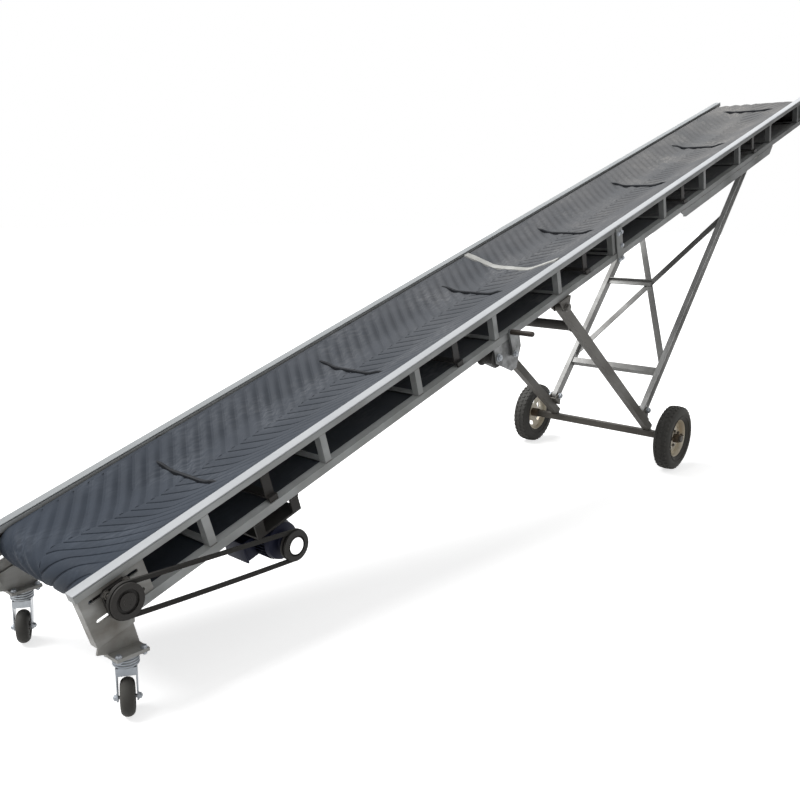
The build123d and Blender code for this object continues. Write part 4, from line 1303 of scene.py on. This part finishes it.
    def loop(self) -> list[Triple]:
        """Centre line of the drive belt, slack in its lower run.

        Returns:
            (s, h, angle of the outward direction) of each point, round both pulleys.
        """
        steps = 24
        heading = atan2(self.motor_h - self.tail_h, self.motor_s - self.tail_s)
        under = heading - pi / 2
        driving = self.wrap(self.motor_s, self.motor_h, self.motor_pulley_radius, heading + pi / 2)
        driven = self.wrap(self.tail_s, self.tail_h, self.driven_radius, under)
        slack = []
        for i in range(1, steps):
            share = i / steps
            dip = self.sag * 4 * share * (1 - share)
            s, h = (a + (b - a) * share for a, b in zip(driving[-1][:2], driven[0][:2]))
            slack.append((s + dip * cos(under), h + dip * sin(under), under))
        return driving + slack + driven

    def drive_belt(self) -> Piece:
        """V-section belt.

        Returns:
            The piece that stands for the drive belt.
        """
        half = self.groove - self.belt_fit
        narrow = self.belt_narrow * half
        crown, foot = self.belt_crown, self.belt_foot
        section = ((-half, crown), (half, crown), (narrow, foot), (-narrow, foot))
        rings = []
        for s, h, a in self.loop():
            ring = [(s + lift * cos(a), self.plane + y, h + lift * sin(a)) for y, lift in section]
            rings.append([BOOM.point(*corner) for corner in ring])
        sketch = Sketch()
        sketch.skin(rings, looped=True)
        return sketch.piece("v_belt", DRIVE_RUBBER, Body.BOOM, Slot.BELT_RUBBER, ["drive_belt"])

    def mount_bolts(self) -> Piece:
        """Bolts of the motor's feet and of the mount's bars.

        Returns:
            The piece with all bolts.
        """
        sketch = Sketch()
        base = self.foot_top + self.plate_wall
        under = -BOOM.depth - self.plate_wall
        reach, side = self.bar_bolt_place
        for ds in (-self.foot_bolt_reach, self.foot_bolt_reach):
            for y in (self.near + self.foot_near, self.far - self.foot_far):
                seat = BOOM.point(self.motor_s + ds, y + self.foot_width / 2, base)
                sketch.bolt(seat, BOOM.upward, self.foot_bolt, self.foot_stub)
        for ds in (-reach, reach):
            for y in (-side, side):
                sketch.bolt(BOOM.point(self.motor_s + ds, y, under), -BOOM.upward, self.bar_bolt)
        return sketch.piece("motor_bolts", BRIGHT_ZINC, Body.BOOM, Slot.ZINC)

    def build(self) -> list[Piece]:
        """Makes all pieces of the drive."""
        return [self.motor(), self.pulleys(), self.pulley_face(), self.drive_belt(), self.mount_bolts()]


@dataclass
class Winch(Assembly):
    """Hand winch: spool with its flanges, ratchet wheel, crank and fixing bolts."""

    drum_s: float = 2.2464
    drum_h: float = -0.236
    drum_radius: float = 0.047
    barrel_radius: float = 0.030
    shaft: float = 0.010
    flange: float = 0.004
    turn_radius: float = 0.004
    outer: float = -0.350
    inner: float = -0.250
    wall: float = 0.006
    middle: float = 2.3364
    crank_s: float = 2.3564
    crank_h: float = -0.262
    gear_radius: float = 0.040
    gear_teeth: int = 22
    gear_wall: float = 0.012
    gear_gap: float = 0.020
    tooth: float = 0.006
    boss_radius: float = 0.018
    boss_length: float = 0.030
    arm_gap: float = 0.018
    arm_length: float = 0.118
    arm_angle: float = radians(96)
    arm_half: float = 0.013
    arm_wall: float = 0.010
    arm_soft: float = 0.001
    fixing_bolt: float = 0.010
    fixing_along: Pair = (-0.045, 0.080)
    fixing_inset: Pair = (0.018, 0.070)
    drum_nut: float = 0.016
    crank_nut: float = 0.014
    nut_stub: float = 0.004

    def spool(self) -> Piece:
        """Flanged spool with the turns that fill it.

        Returns:
            The piece that stands for the winch's drum.
        """
        sketch = Sketch()
        foot = BOOM.point(self.drum_s, self.outer, self.drum_h)
        room = self.inner - self.outer
        near = self.wall + 0.001
        far = room - near
        for start in (near, far - self.flange):
            end = start + self.flange
            disc = [(self.shaft, start), (self.drum_radius, start),
                    (self.drum_radius, end), (self.shaft, end)]
            sketch.hoop(disc, foot, ACROSS, 40)
        turn = self.turn_radius
        turns = int((far - near - 2 * self.flange) / (2 * turn))
        start = (near + far) / 2 - turns * turn
        profile = [(self.barrel_radius, near + self.flange)]
        angles = [pi * step / 4 for step in range(5)]
        for i in range(turns):
            middle = start + (2 * i + 1) * turn
            profile += [(self.barrel_radius + turn * sin(a), middle - turn * cos(a)) for a in angles]
        profile.append((self.barrel_radius, far - self.flange))
        sketch.spindle(profile, foot, ACROSS, 32)
        sketch.spindle([(self.shaft, 0.0), (self.shaft, room)], foot, ACROSS, 20)
        return sketch.piece("winch_spool", DARK_STEEL, Body.BOOM, Slot.DARK_STEEL, ["winch_drum"])

    def ratchet(self) -> Piece:
        """Toothed wheel with its boss on the crank's shaft, inside the frame.

        Returns:
            The piece.
        """
        sketch = Sketch()
        steps = 4 * self.gear_teeth
        outline = []
        for i in range(steps):
            radius = self.gear_radius if i % 4 in (1, 2) else self.gear_radius - self.tooth
            angle = tau * i / steps
            outline.append((radius * cos(angle), radius * sin(angle)))
        foot = BOOM.point(self.crank_s, self.outer + self.gear_gap, self.crank_h)
        sketch.prism(outline, axis_frame(foot, ACROSS), self.gear_wall)
        boss = [(self.boss_radius, 0.0), (self.boss_radius, self.boss_length)]
        sketch.spindle(boss, foot + ACROSS * self.gear_wall, ACROSS, 24)
        return sketch.piece("winch_ratchet", DARK_STEEL, Body.BOOM, Slot.DARK_STEEL)

    def crank(self) -> list[Piece]:
        """Flat crank arm on its shaft, and the grip.

        Returns:
            The arm, which stands for the crank, and the grip.
        """
        heading = BOOM.along * cos(self.arm_angle) + BOOM.upward * sin(self.arm_angle)
        outer = self.outer - self.arm_gap
        foot = BOOM.point(self.crank_s, outer, self.crank_h)
        outline = []
        for end, start in ((0.0, pi / 2), (self.arm_length, -pi / 2)):
            angles = [start + pi * step / 10 for step in range(11)]
            outline += [(end + self.arm_half * cos(a), self.arm_half * sin(a)) for a in angles]
        arm = Sketch()
        arm.prism(outline, frame_of(foot, heading, ACROSS.cross(heading)), self.arm_wall, self.arm_soft)
        arm.spindle([(self.shaft, self.arm_wall / 2), (self.shaft, self.inner - outer)], foot, ACROSS, 20)
        handle = [(0.0095, 0.0), (0.0125, 0.003), (0.013, 0.020), (0.0120, 0.060), (0.0130, 0.100),
                  (0.0125, 0.117), (0.0095, 0.122)]
        grip = Sketch()
        grip.spindle(handle, foot + heading * self.arm_length, -ACROSS, 24)
        return [arm.piece("crank_arm", DULL_ZINC, Body.BOOM, Slot.ZINC, ["winch_crank"]),
                grip.piece("crank_grip", GRIP_RUBBER, Body.BOOM, Slot.DARK_STEEL)]

    def bolts(self) -> Piece:
        """Fixing bolts, shaft nuts and the crank's nut.

        Returns:
            The piece with all of them.
        """
        sketch = Sketch()
        under = -BOOM.depth - self.wall
        for ds in self.fixing_along:
            for y in (self.outer + self.fixing_inset[0], self.inner - self.fixing_inset[1]):
                sketch.bolt(BOOM.point(self.middle + ds, y, under), -BOOM.upward, self.fixing_bolt)
        drum = BOOM.point(self.drum_s, self.outer, self.drum_h)
        sketch.bolt(drum, -ACROSS, self.drum_nut, self.nut_stub)
        crank = BOOM.point(self.crank_s, self.outer - self.arm_gap, self.crank_h)
        sketch.bolt(crank, -ACROSS, self.crank_nut, self.nut_stub)
        return sketch.piece("winch_bolts", BRIGHT_ZINC, Body.BOOM, Slot.ZINC)

    def build(self) -> list[Piece]:
        """Makes all pieces of the winch."""
        return [self.spool(), self.ratchet(), *self.crank(), self.bolts()]


@dataclass
class Wheel(Assembly):
    """Pneumatic wheel: treaded tyre on a dished rim with windows and a rusty hub."""

    side: Side
    radius: float = 0.200
    tread_base: float = 0.1935
    tread_root: float = 0.004
    crown_drop: float = 0.0045
    crown_half: float = 0.037
    block_rows: tuple[Triple, ...] = ((-0.029, 0.017, 0.0), (0.0, 0.019, 0.5), (0.029, 0.017, 0.0))
    block_count: int = 38
    block_share: float = 0.62
    block_taper: float = 0.86
    crown_slant: float = 0.35
    shoulder_slant: float = 0.8
    wall_rings: Pair = (0.140, 0.157)
    hub_half: float = 0.046
    bore: float = 0.0153
    windows: int = 5
    window_sectors: tuple[int, int] = (3, 8)
    disc_wall: float = 0.004
    bolt_circle: float = 0.046
    bolt_face: float = 0.0155
    bolt_lag: float = 0.46
    disc_bolt: float = 0.009
    valve_place: Triple = (0.109, 0.0, 0.010)
    valve_lean: float = 0.7

    @property
    def centre(self) -> Vector:
        """The wheel's middle."""
        return joint("wheel_spin_" + self.side.label)[0]

    @property
    def outward(self) -> Vector:
        """Direction of the wheel's outer face."""
        return ACROSS * self.side.value

    @property
    def body(self) -> str:
        """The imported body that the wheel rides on."""
        return Body.WHEEL.of(self.side)

    def tyre(self) -> Piece:
        """Round-shouldered casing with three rows of tread blocks.

        Returns:
            The piece that stands for the tyre.
        """
        sketch = Sketch()
        base = self.tread_base
        side = [(0.1165, 0.026), (0.1165, 0.033), (0.124, 0.0400), (0.135, 0.0450), (0.150, 0.0492),
                (0.164, 0.0500), (0.176, 0.0470), (0.185, 0.0415), (0.1910, 0.034), (base, 0.025),
                (base + 0.0015, 0.013)]
        outline = side + [(base + 0.0020, 0.0)] + [(r, -y) for r, y in reversed(side)]
        outline += [(0.1215, -0.018), (0.1215, 0.018)]
        sketch.hoop(outline, self.centre, self.outward, 72)
        for middle, width, lag in self.block_rows:
            for i in range(self.block_count):
                sketch.skin(self.block(middle, width, tau * (i + lag) / self.block_count))
        bead = [(-0.0015, 0.046), (0.0015, 0.046), (0.0010, 0.0508), (-0.0010, 0.0508)]
        for ring in self.wall_rings:
            for turn in (1, -1):
                sketch.hoop([(ring + r, turn * y) for r, y in bead], self.centre, self.outward, 72)
        name = self.side.label
        return sketch.piece("wheel_tyre_" + name, TYRE_RUBBER, self.body, Slot.TYRE_RUBBER, ["tyre_" + name])

    def block(self, middle: float, width: float, angle: float) -> list[list[Vector]]:
        """One tread block.

        Args:
            middle: Its middle across the tread.
            width: Its width across the tread.
            angle: Its place round the tyre.

        Returns:
            Its rings, from its root to its face.
        """
        place = axis_frame(self.centre, self.outward)
        span = self.block_share * tau / self.block_count
        slant = copysign(self.shoulder_slant, middle) if middle else self.crown_slant
        rings = []
        for share, top in ((1.0, False), (self.block_taper, True)):
            ring = []
            for across, along in ((-1, -1), (1, -1), (1, 1), (-1, 1)):
                y = middle + across * share * width / 2
                a = angle + along * share * span / 2 + slant * (y - middle)
                crown = self.radius - self.crown_drop * (abs(y) / self.crown_half) ** 2
                r = crown if top else self.tread_base - self.tread_root
                ring.append(place @ Vector((r * cos(a), r * sin(a), y)))
            rings.append(ring)
        return rings

    def disc(self) -> bmesh.types.BMesh:
        """Dished disc with windows.

        Returns:
            The disc's mesh, apart.
        """
        place = axis_frame(self.centre, self.outward)
        sectors = 60
        bands = ((0.026, 0.012), (0.048, 0.014), (0.064, 0.008), (0.090, 0.000), (0.1115, -0.004))
        window_band = 2
        first, last = self.window_sectors
        per_window = sectors // self.windows
        sheet = bmesh.new()
        grid = []
        for i in range(sectors):
            a = tau * i / sectors
            grid.append([sheet.verts.new(place @ Vector((r * cos(a), r * sin(a), y))) for r, y in bands])
        for i in range(sectors):
            after = grid[(i + 1) % sectors]
            for band in range(len(bands) - 1):
                if band == window_band and first <= i % per_window <= last:
                    continue
                sheet.faces.new((grid[i][band], after[band], after[band + 1], grid[i][band + 1]))
        bmesh.ops.recalc_face_normals(sheet, faces=sheet.faces[:])
        bmesh.ops.solidify(sheet, geom=sheet.faces[:], thickness=self.disc_wall)
        return sheet

    def rim(self) -> Piece:
        """Rim with rolled flanges and its disc.

        Returns:
            The piece that stands for the rim.
        """
        outside = [(0.1275, 0.0395), (0.1275, 0.0345), (0.1175, 0.0265), (0.1145, 0.012)]
        inside = [(0.1245, 0.0395), (0.1145, 0.0290), (0.1105, 0.013)]
        barrel = [(r, -y) for r, y in [inside[0], *outside]] + [(r, y) for r, y in reversed(outside)]
        barrel += inside + [(r, -y) for r, y in reversed(inside[1:])]
        sketch = Sketch()
        sketch.hoop(barrel, self.centre, self.outward, 64)
        sketch.absorb(self.disc())
        name = self.side.label
        return sketch.piece("wheel_rim_" + name, RIM_PAINT, self.body, Slot.RIM_PAINT, ["rim_" + name])

    def hardware(self) -> Piece:
        """Hub, disc bolts between it and the windows, and the tyre's valve.

        Returns:
            The piece.
        """
        sketch = Sketch()
        place = axis_frame(self.centre, self.outward)
        hub = [(self.bore, -self.hub_half), (0.026, -self.hub_half), (0.028, -0.040), (0.028, 0.036),
               (0.026, self.hub_half), (self.bore, self.hub_half)]
        sketch.hoop(hub, self.centre, self.outward, 40)
        for i in range(self.windows):
            a = tau * (i + self.bolt_lag) / self.windows
            seat = place @ Vector((self.bolt_circle * cos(a), self.bolt_circle * sin(a), self.bolt_face))
            sketch.bolt(seat, self.outward, self.disc_bolt)
        foot = place @ Vector(self.valve_place)
        lean = (self.outward + (self.centre - foot).normalized() * self.valve_lean).normalized()
        valve = [(0.005, -0.004), (0.005, 0.010), (0.003, 0.012), (0.003, 0.024), (0.0025, 0.026)]
        sketch.spindle(valve, foot, lean, 12)
        return sketch.piece("wheel_hub_" + self.side.label, HUB_RUST, self.body, Slot.DARK_STEEL)

    def build(self) -> list[Piece]:
        """Makes all pieces of the wheel."""
        return [self.tyre(), self.rim(), self.hardware()]


@dataclass
class Caster(Assembly):
    """Swivel caster: round-tread wheel, axle nuts, ribbed cup and plate bolts."""

    side: Side
    radius: float = 0.0625
    half_width: float = 0.023
    tread_share: float = 0.85
    axle_radius: float = 0.006
    axle_fit: float = 0.0002
    fork_outer: float = 0.033
    axle_nut: float = 0.011
    axle_stub: float = 0.003
    cup_radius: float = 0.040
    cup_low: float = 0.165
    cup_ribs: int = 4
    rib_gap: float = 0.001
    rib_height: float = 0.0042
    plate_top: float = 0.215
    plate_wall: float = 0.012
    plate_bolt: float = 0.010
    plate_stub: float = 0.004
    bolt_places: tuple[Pair, ...] = ((-0.046, -0.036), (-0.046, 0.036), (0.046, -0.036), (0.046, 0.036))

    def wheel(self) -> Piece:
        """Solid wheel with a round tread and a recessed centre.

        Returns:
            The piece that stands for the caster's wheel.
        """
        centre, axis = joint("caster_spin_" + self.side.label)
        half = self.half_width
        swell = half * self.tread_share
        angles = [pi * (i / 8 - 0.5) for i in range(9)]
        tread = [(self.radius - swell + swell * cos(a), half * sin(a)) for a in angles]
        bore = self.axle_radius + self.axle_fit
        face = [(0.040, half), (0.037, half - 0.005), (0.018, half - 0.006), (0.016, half), (bore, half)]
        sketch = Sketch()
        sketch.hoop(tread + face + [(r, -y) for r, y in reversed(face)], centre, axis, 48)
        name = self.side.label
        body = Body.CASTER_ROLL.of(self.side)
        replaced = ["caster_wheel_" + name]
        return sketch.piece("caster_tread_" + name, TYRE_RUBBER, body, Slot.TYRE_RUBBER, replaced)

    def axle_nuts(self) -> Piece:
        """Nuts on both ends of the wheel's axle.

        Returns:
            The piece.
        """
        centre, axis = joint("caster_spin_" + self.side.label)
        sketch = Sketch()
        for turn in (-1, 1):
            sketch.bolt(centre + axis * turn * self.fork_outer, axis * turn, self.axle_nut, self.axle_stub)
        body = Body.CASTER_SWIVEL.of(self.side)
        return sketch.piece("caster_nuts_" + self.side.label, BRIGHT_ZINC, body, Slot.ZINC)

    def seat(self) -> Piece:
        """Ribs round the bearing cup, and the bolts of the top plate.

        Returns:
            The piece.
        """
        pivot, _ = joint("caster_turn_" + self.side.label)
        under = self.plate_top - self.plate_wall
        pitch = (under - self.cup_low) / self.cup_ribs
        height = pitch - self.rib_gap
        root = self.cup_radius - 0.003
        crest = self.cup_radius - 0.001
        angles = [pi * step / 6 for step in range(7)]
        sketch = Sketch()
        for i in range(self.cup_ribs):
            foot = self.rib_gap + pitch * i
            bulge = [(crest + self.rib_height * sin(a), foot + height * (1 - cos(a)) / 2) for a in angles]
            rib = [(root, foot), *bulge, (root, foot + height)]
            sketch.hoop(rib, Vector((pivot.x, pivot.y, self.cup_low)), UP, 40)
        for x, y in self.bolt_places:
            below = Vector((pivot.x + x, pivot.y + y, under))
            sketch.bolt(below, -UP, self.plate_bolt, self.plate_stub)
            sketch.bolt(below + UP * self.plate_wall, UP, self.plate_bolt)
        return sketch.piece("caster_cup_" + self.side.label, BRIGHT_ZINC, Body.BOOM, Slot.ZINC)

    def build(self) -> list[Piece]:
        """Makes all pieces of the caster."""
        return [self.wheel(), self.axle_nuts(), self.seat()]


@dataclass
class Legs(Assembly):
    """Hardware of the folding leg frame: pin heads, roller collars and welds."""

    pin: float = 0.020
    pin_stub: float = 0.006
    bracket_reach: float = 0.013
    bracket_inner: float = 0.053
    leg_width: float = 0.040
    foot_up: float = 0.040
    beam_half: float = 0.020
    beam_bead: float = 0.004
    tube_place: float = 0.200
    tube_radius: float = 0.026
    roller_radius: float = 0.010
    collar_radius: float = 0.017
    collar_width: float = 0.012
    rear_outer: float = 0.328
    rear_inner: float = 0.296
    lug_reach: float = 0.013
    lug_pin: float = 0.018
    lug_stub: float = 0.004

    def pins(self) -> Piece:
        """Heads and nuts of the front legs' top pins.

        Returns:
            The piece.
        """
        pivot, _ = joint("front_leg_lift")
        face = BOOM.half_width + self.bracket_reach
        inner = BOOM.half_width - self.bracket_inner
        sketch = Sketch()
        for side in Side:
            axis = ACROSS * side.value
            sketch.bolt(Vector((pivot.x, side.value * face, pivot.z)), axis, self.pin)
            sketch.bolt(Vector((pivot.x, side.value * inner, pivot.z)), -axis, self.pin, self.pin_stub)
        return sketch.piece("leg_pins", GREASY_STEEL, Body.BOOM, Slot.ZINC)

    def front_welds(self) -> Piece:
        """Beads round the cross tube's ends and on the axle beam.

        Returns:
            The piece.
        """
        top, _ = joint("front_leg_lift")
        wheel, _ = joint("wheel_spin_left")
        run = Vector((wheel.x - top.x, 0, wheel.z + self.foot_up - top.z)).normalized()
        tube = Vector((top.x, 0, top.z)) + run * self.tube_place
        root = self.tube_radius - 0.001
        bead = [(root, 0.0), (self.tube_radius + 0.005, 0.0),
                (self.tube_radius + 0.0035, 0.0035), (root, 0.005)]
        inner = BOOM.half_width - self.leg_width
        z = wheel.z + self.beam_half
        sketch = Sketch()
        for side in Side:
            sketch.hoop(bead, tube + ACROSS * side.value * inner, -ACROSS * side.value, 32)
            for y in (side.value * inner, side.value * BOOM.half_width):
                start = Vector((wheel.x - self.beam_half + 0.006, y, z))
                sketch.weld(start, Vector((wheel.x + self.beam_half, y, z)), self.beam_bead)
        return sketch.piece("front_leg_welds", WELD_STEEL, Body.FRONT_LEGS, Slot.LEG_STEEL)

    def lug_pins(self) -> Piece:
        """Heads and nuts of the rear legs' lower pins on the front legs' lugs.

        Returns:
            The piece.
        """
        pivot, _ = joint("rear_leg_fold")
        sketch = Sketch()
        for side in Side:
            for y, turn in ((self.rear_inner - self.lug_reach, -1), (self.rear_outer + self.lug_reach, 1)):
                seat = Vector((pivot.x, side.value * y, pivot.z))
                sketch.bolt(seat, ACROSS * side.value * turn, self.lug_pin, self.lug_stub)
        return sketch.piece("lug_pins", BRIGHT_ZINC, Body.FRONT_LEGS, Slot.ZINC)

    def collars(self) -> Piece:
        """Collars that keep the rear legs in place on the roller shaft.

        Returns:
            The piece.
        """
        low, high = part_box("roller_shaft")
        middle = (low + high) / 2
        bore = self.roller_radius + FIT
        outer, width = self.collar_radius, self.collar_width
        ring = [(bore, 0.0), (outer, 0.0), (outer, width - 0.002), (outer - 0.0015, width), (bore, width)]
        sketch = Sketch()
        for side in Side:
            foot = Vector((middle.x, side.value * (self.rear_inner - 0.0005), middle.z))
            sketch.hoop(ring, foot, -ACROSS * side.value, 28)
        return sketch.piece("roller_collars", BRIGHT_ZINC, Body.REAR_LEGS, Slot.ZINC)

    def build(self) -> list[Piece]:
        """Makes all hardware of the legs."""
        return [self.pins(), self.front_welds(), self.lug_pins(), self.collars()]


@dataclass
class Studio:
    """Pale floor, soft light and the camera at the photograph's angle."""

    place: Vector = field(default_factory=lambda: Vector((-4.3079, -2.5393, 1.5658)))
    yaw: float = radians(47.711)
    pitch: float = radians(14.663)
    roll: float = radians(-0.441)
    focal_pixels: float = 851.6
    middle_pixel: Pair = (363.2, 432.6)
    image_pixels: float = 800.0
    sensor: float = 36.0
    view_reach: float = 200.0
    floor_half: float = 60.0
    floor_colour: Colour = grey(0.80)
    floor_glow: float = 0.70
    floor_roughness: float = 0.9
    bounce_colour: Colour = grey(0.30)
    world_strength: float = 0.32
    key_power: float = 3.1
    key_angle: float = radians(40)
    key_heading: Vector = field(default_factory=lambda: Vector((0.36, -0.48, -1.0)))

    def floor(self) -> None:
        """A wide pale floor that keeps the object's shadow."""
        half = self.floor_half
        mesh = bpy.data.meshes.new("floor")
        corners = [(-half, -half, 0), (half, -half, 0), (half, half, 0), (-half, half, 0)]
        mesh.from_pydata(corners, [], [(0, 1, 2, 3)])
        tree = ShaderTree("floor_paint")
        seen = seen_share(tree.material.node_tree)
        shader = tree.shader.inputs
        tree.links.new(tree.mix(seen, self.bounce_colour, self.floor_colour), shader["Base Color"])
        tree.links.new(tree.product(seen, self.floor_glow), shader["Emission Strength"])
        shader["Emission Color"].default_value = (1, 1, 1, 1)
        shader["Roughness"].default_value = self.floor_roughness
        shader["Specular IOR Level"].default_value = 0.0
        mesh.materials.append(tree.material)
        made = bpy.data.objects.new("floor", mesh)
        bpy.context.scene.collection.objects.link(made)

    def light(self) -> None:
        """White surroundings at a plain level, and a broad key light from above and behind."""
        world = bpy.data.worlds.new("studio")
        bpy.context.scene.world = world
        world.use_nodes = True
        nodes, links = world.node_tree.nodes, world.node_tree.links
        background = nodes["Background"]
        background.inputs["Color"].default_value = (1, 1, 1, 1)
        level = nodes.new("ShaderNodeMapRange")
        links.new(seen_share(world.node_tree), level.inputs["Value"])
        level.inputs["To Min"].default_value = self.world_strength
        links.new(level.outputs[0], background.inputs["Strength"])
        key = bpy.data.lights.new("key", "SUN")
        key.energy = self.key_power
        key.angle = self.key_angle
        lamp = bpy.data.objects.new("key", key)
        lamp.rotation_euler = self.key_heading.to_track_quat("-Z", "Y").to_euler()
        bpy.context.scene.collection.objects.link(lamp)

    def camera(self) -> None:
        """Camera with the photograph's place, direction and lens."""
        ahead = Vector((sin(self.yaw) * cos(self.pitch), cos(self.yaw) * cos(self.pitch), -sin(self.pitch)))
        level = Vector((cos(self.yaw), -sin(self.yaw), 0))
        down = ahead.cross(level)
        right = level * cos(self.roll) + down * sin(self.roll)
        up = level * sin(self.roll) - down * cos(self.roll)
        data = bpy.data.cameras.new("camera")
        data.sensor_width = self.sensor
        data.lens = self.focal_pixels / self.image_pixels * self.sensor
        data.shift_x = 0.5 - self.middle_pixel[0] / self.image_pixels
        data.shift_y = self.middle_pixel[1] / self.image_pixels - 0.5
        data.clip_end = self.view_reach
        made = bpy.data.objects.new("camera", data)
        made.matrix_world = frame_of(self.place, right, up)
        bpy.context.scene.collection.objects.link(made)
        bpy.context.scene.camera = made

    def build(self) -> None:
        """Sets the stage."""
        bpy.context.scene.view_settings.view_transform = "Standard"
        self.floor()
        self.light()
        self.camera()


def finish_nodes() -> None:
    """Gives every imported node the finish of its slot, or its own."""
    for part in frame["record"]["subparts"]:
        node = frame["nodes"][part["node"]]
        finish = NODE_FINISH.get(part["node"], SLOT_FINISH[Slot(part["material_slot"])])
        if not node.material_slots:
            node.data.materials.append(None)
        for place in node.material_slots:
            place.material = finish.material()
        log.info("%s: %s", part["node"], finish.name)


def main() -> None:
    """Builds each sub-assembly in order and reports its pieces."""
    logging.basicConfig(level=logging.INFO, format="%(name)s %(message)s")
    finish_nodes()
    assemblies: list[Assembly] = [Belt(), Frame(), Drive(), Winch(), Legs()]
    assemblies += [kind(side) for side in Side for kind in (Wheel, Caster)]
    for assembly in assemblies:
        for piece in assembly.build():
            log.info("%s: %d faces", piece.name, len(piece.data.polygons))
    Studio().build()


if __name__ == "__main__":
    main()
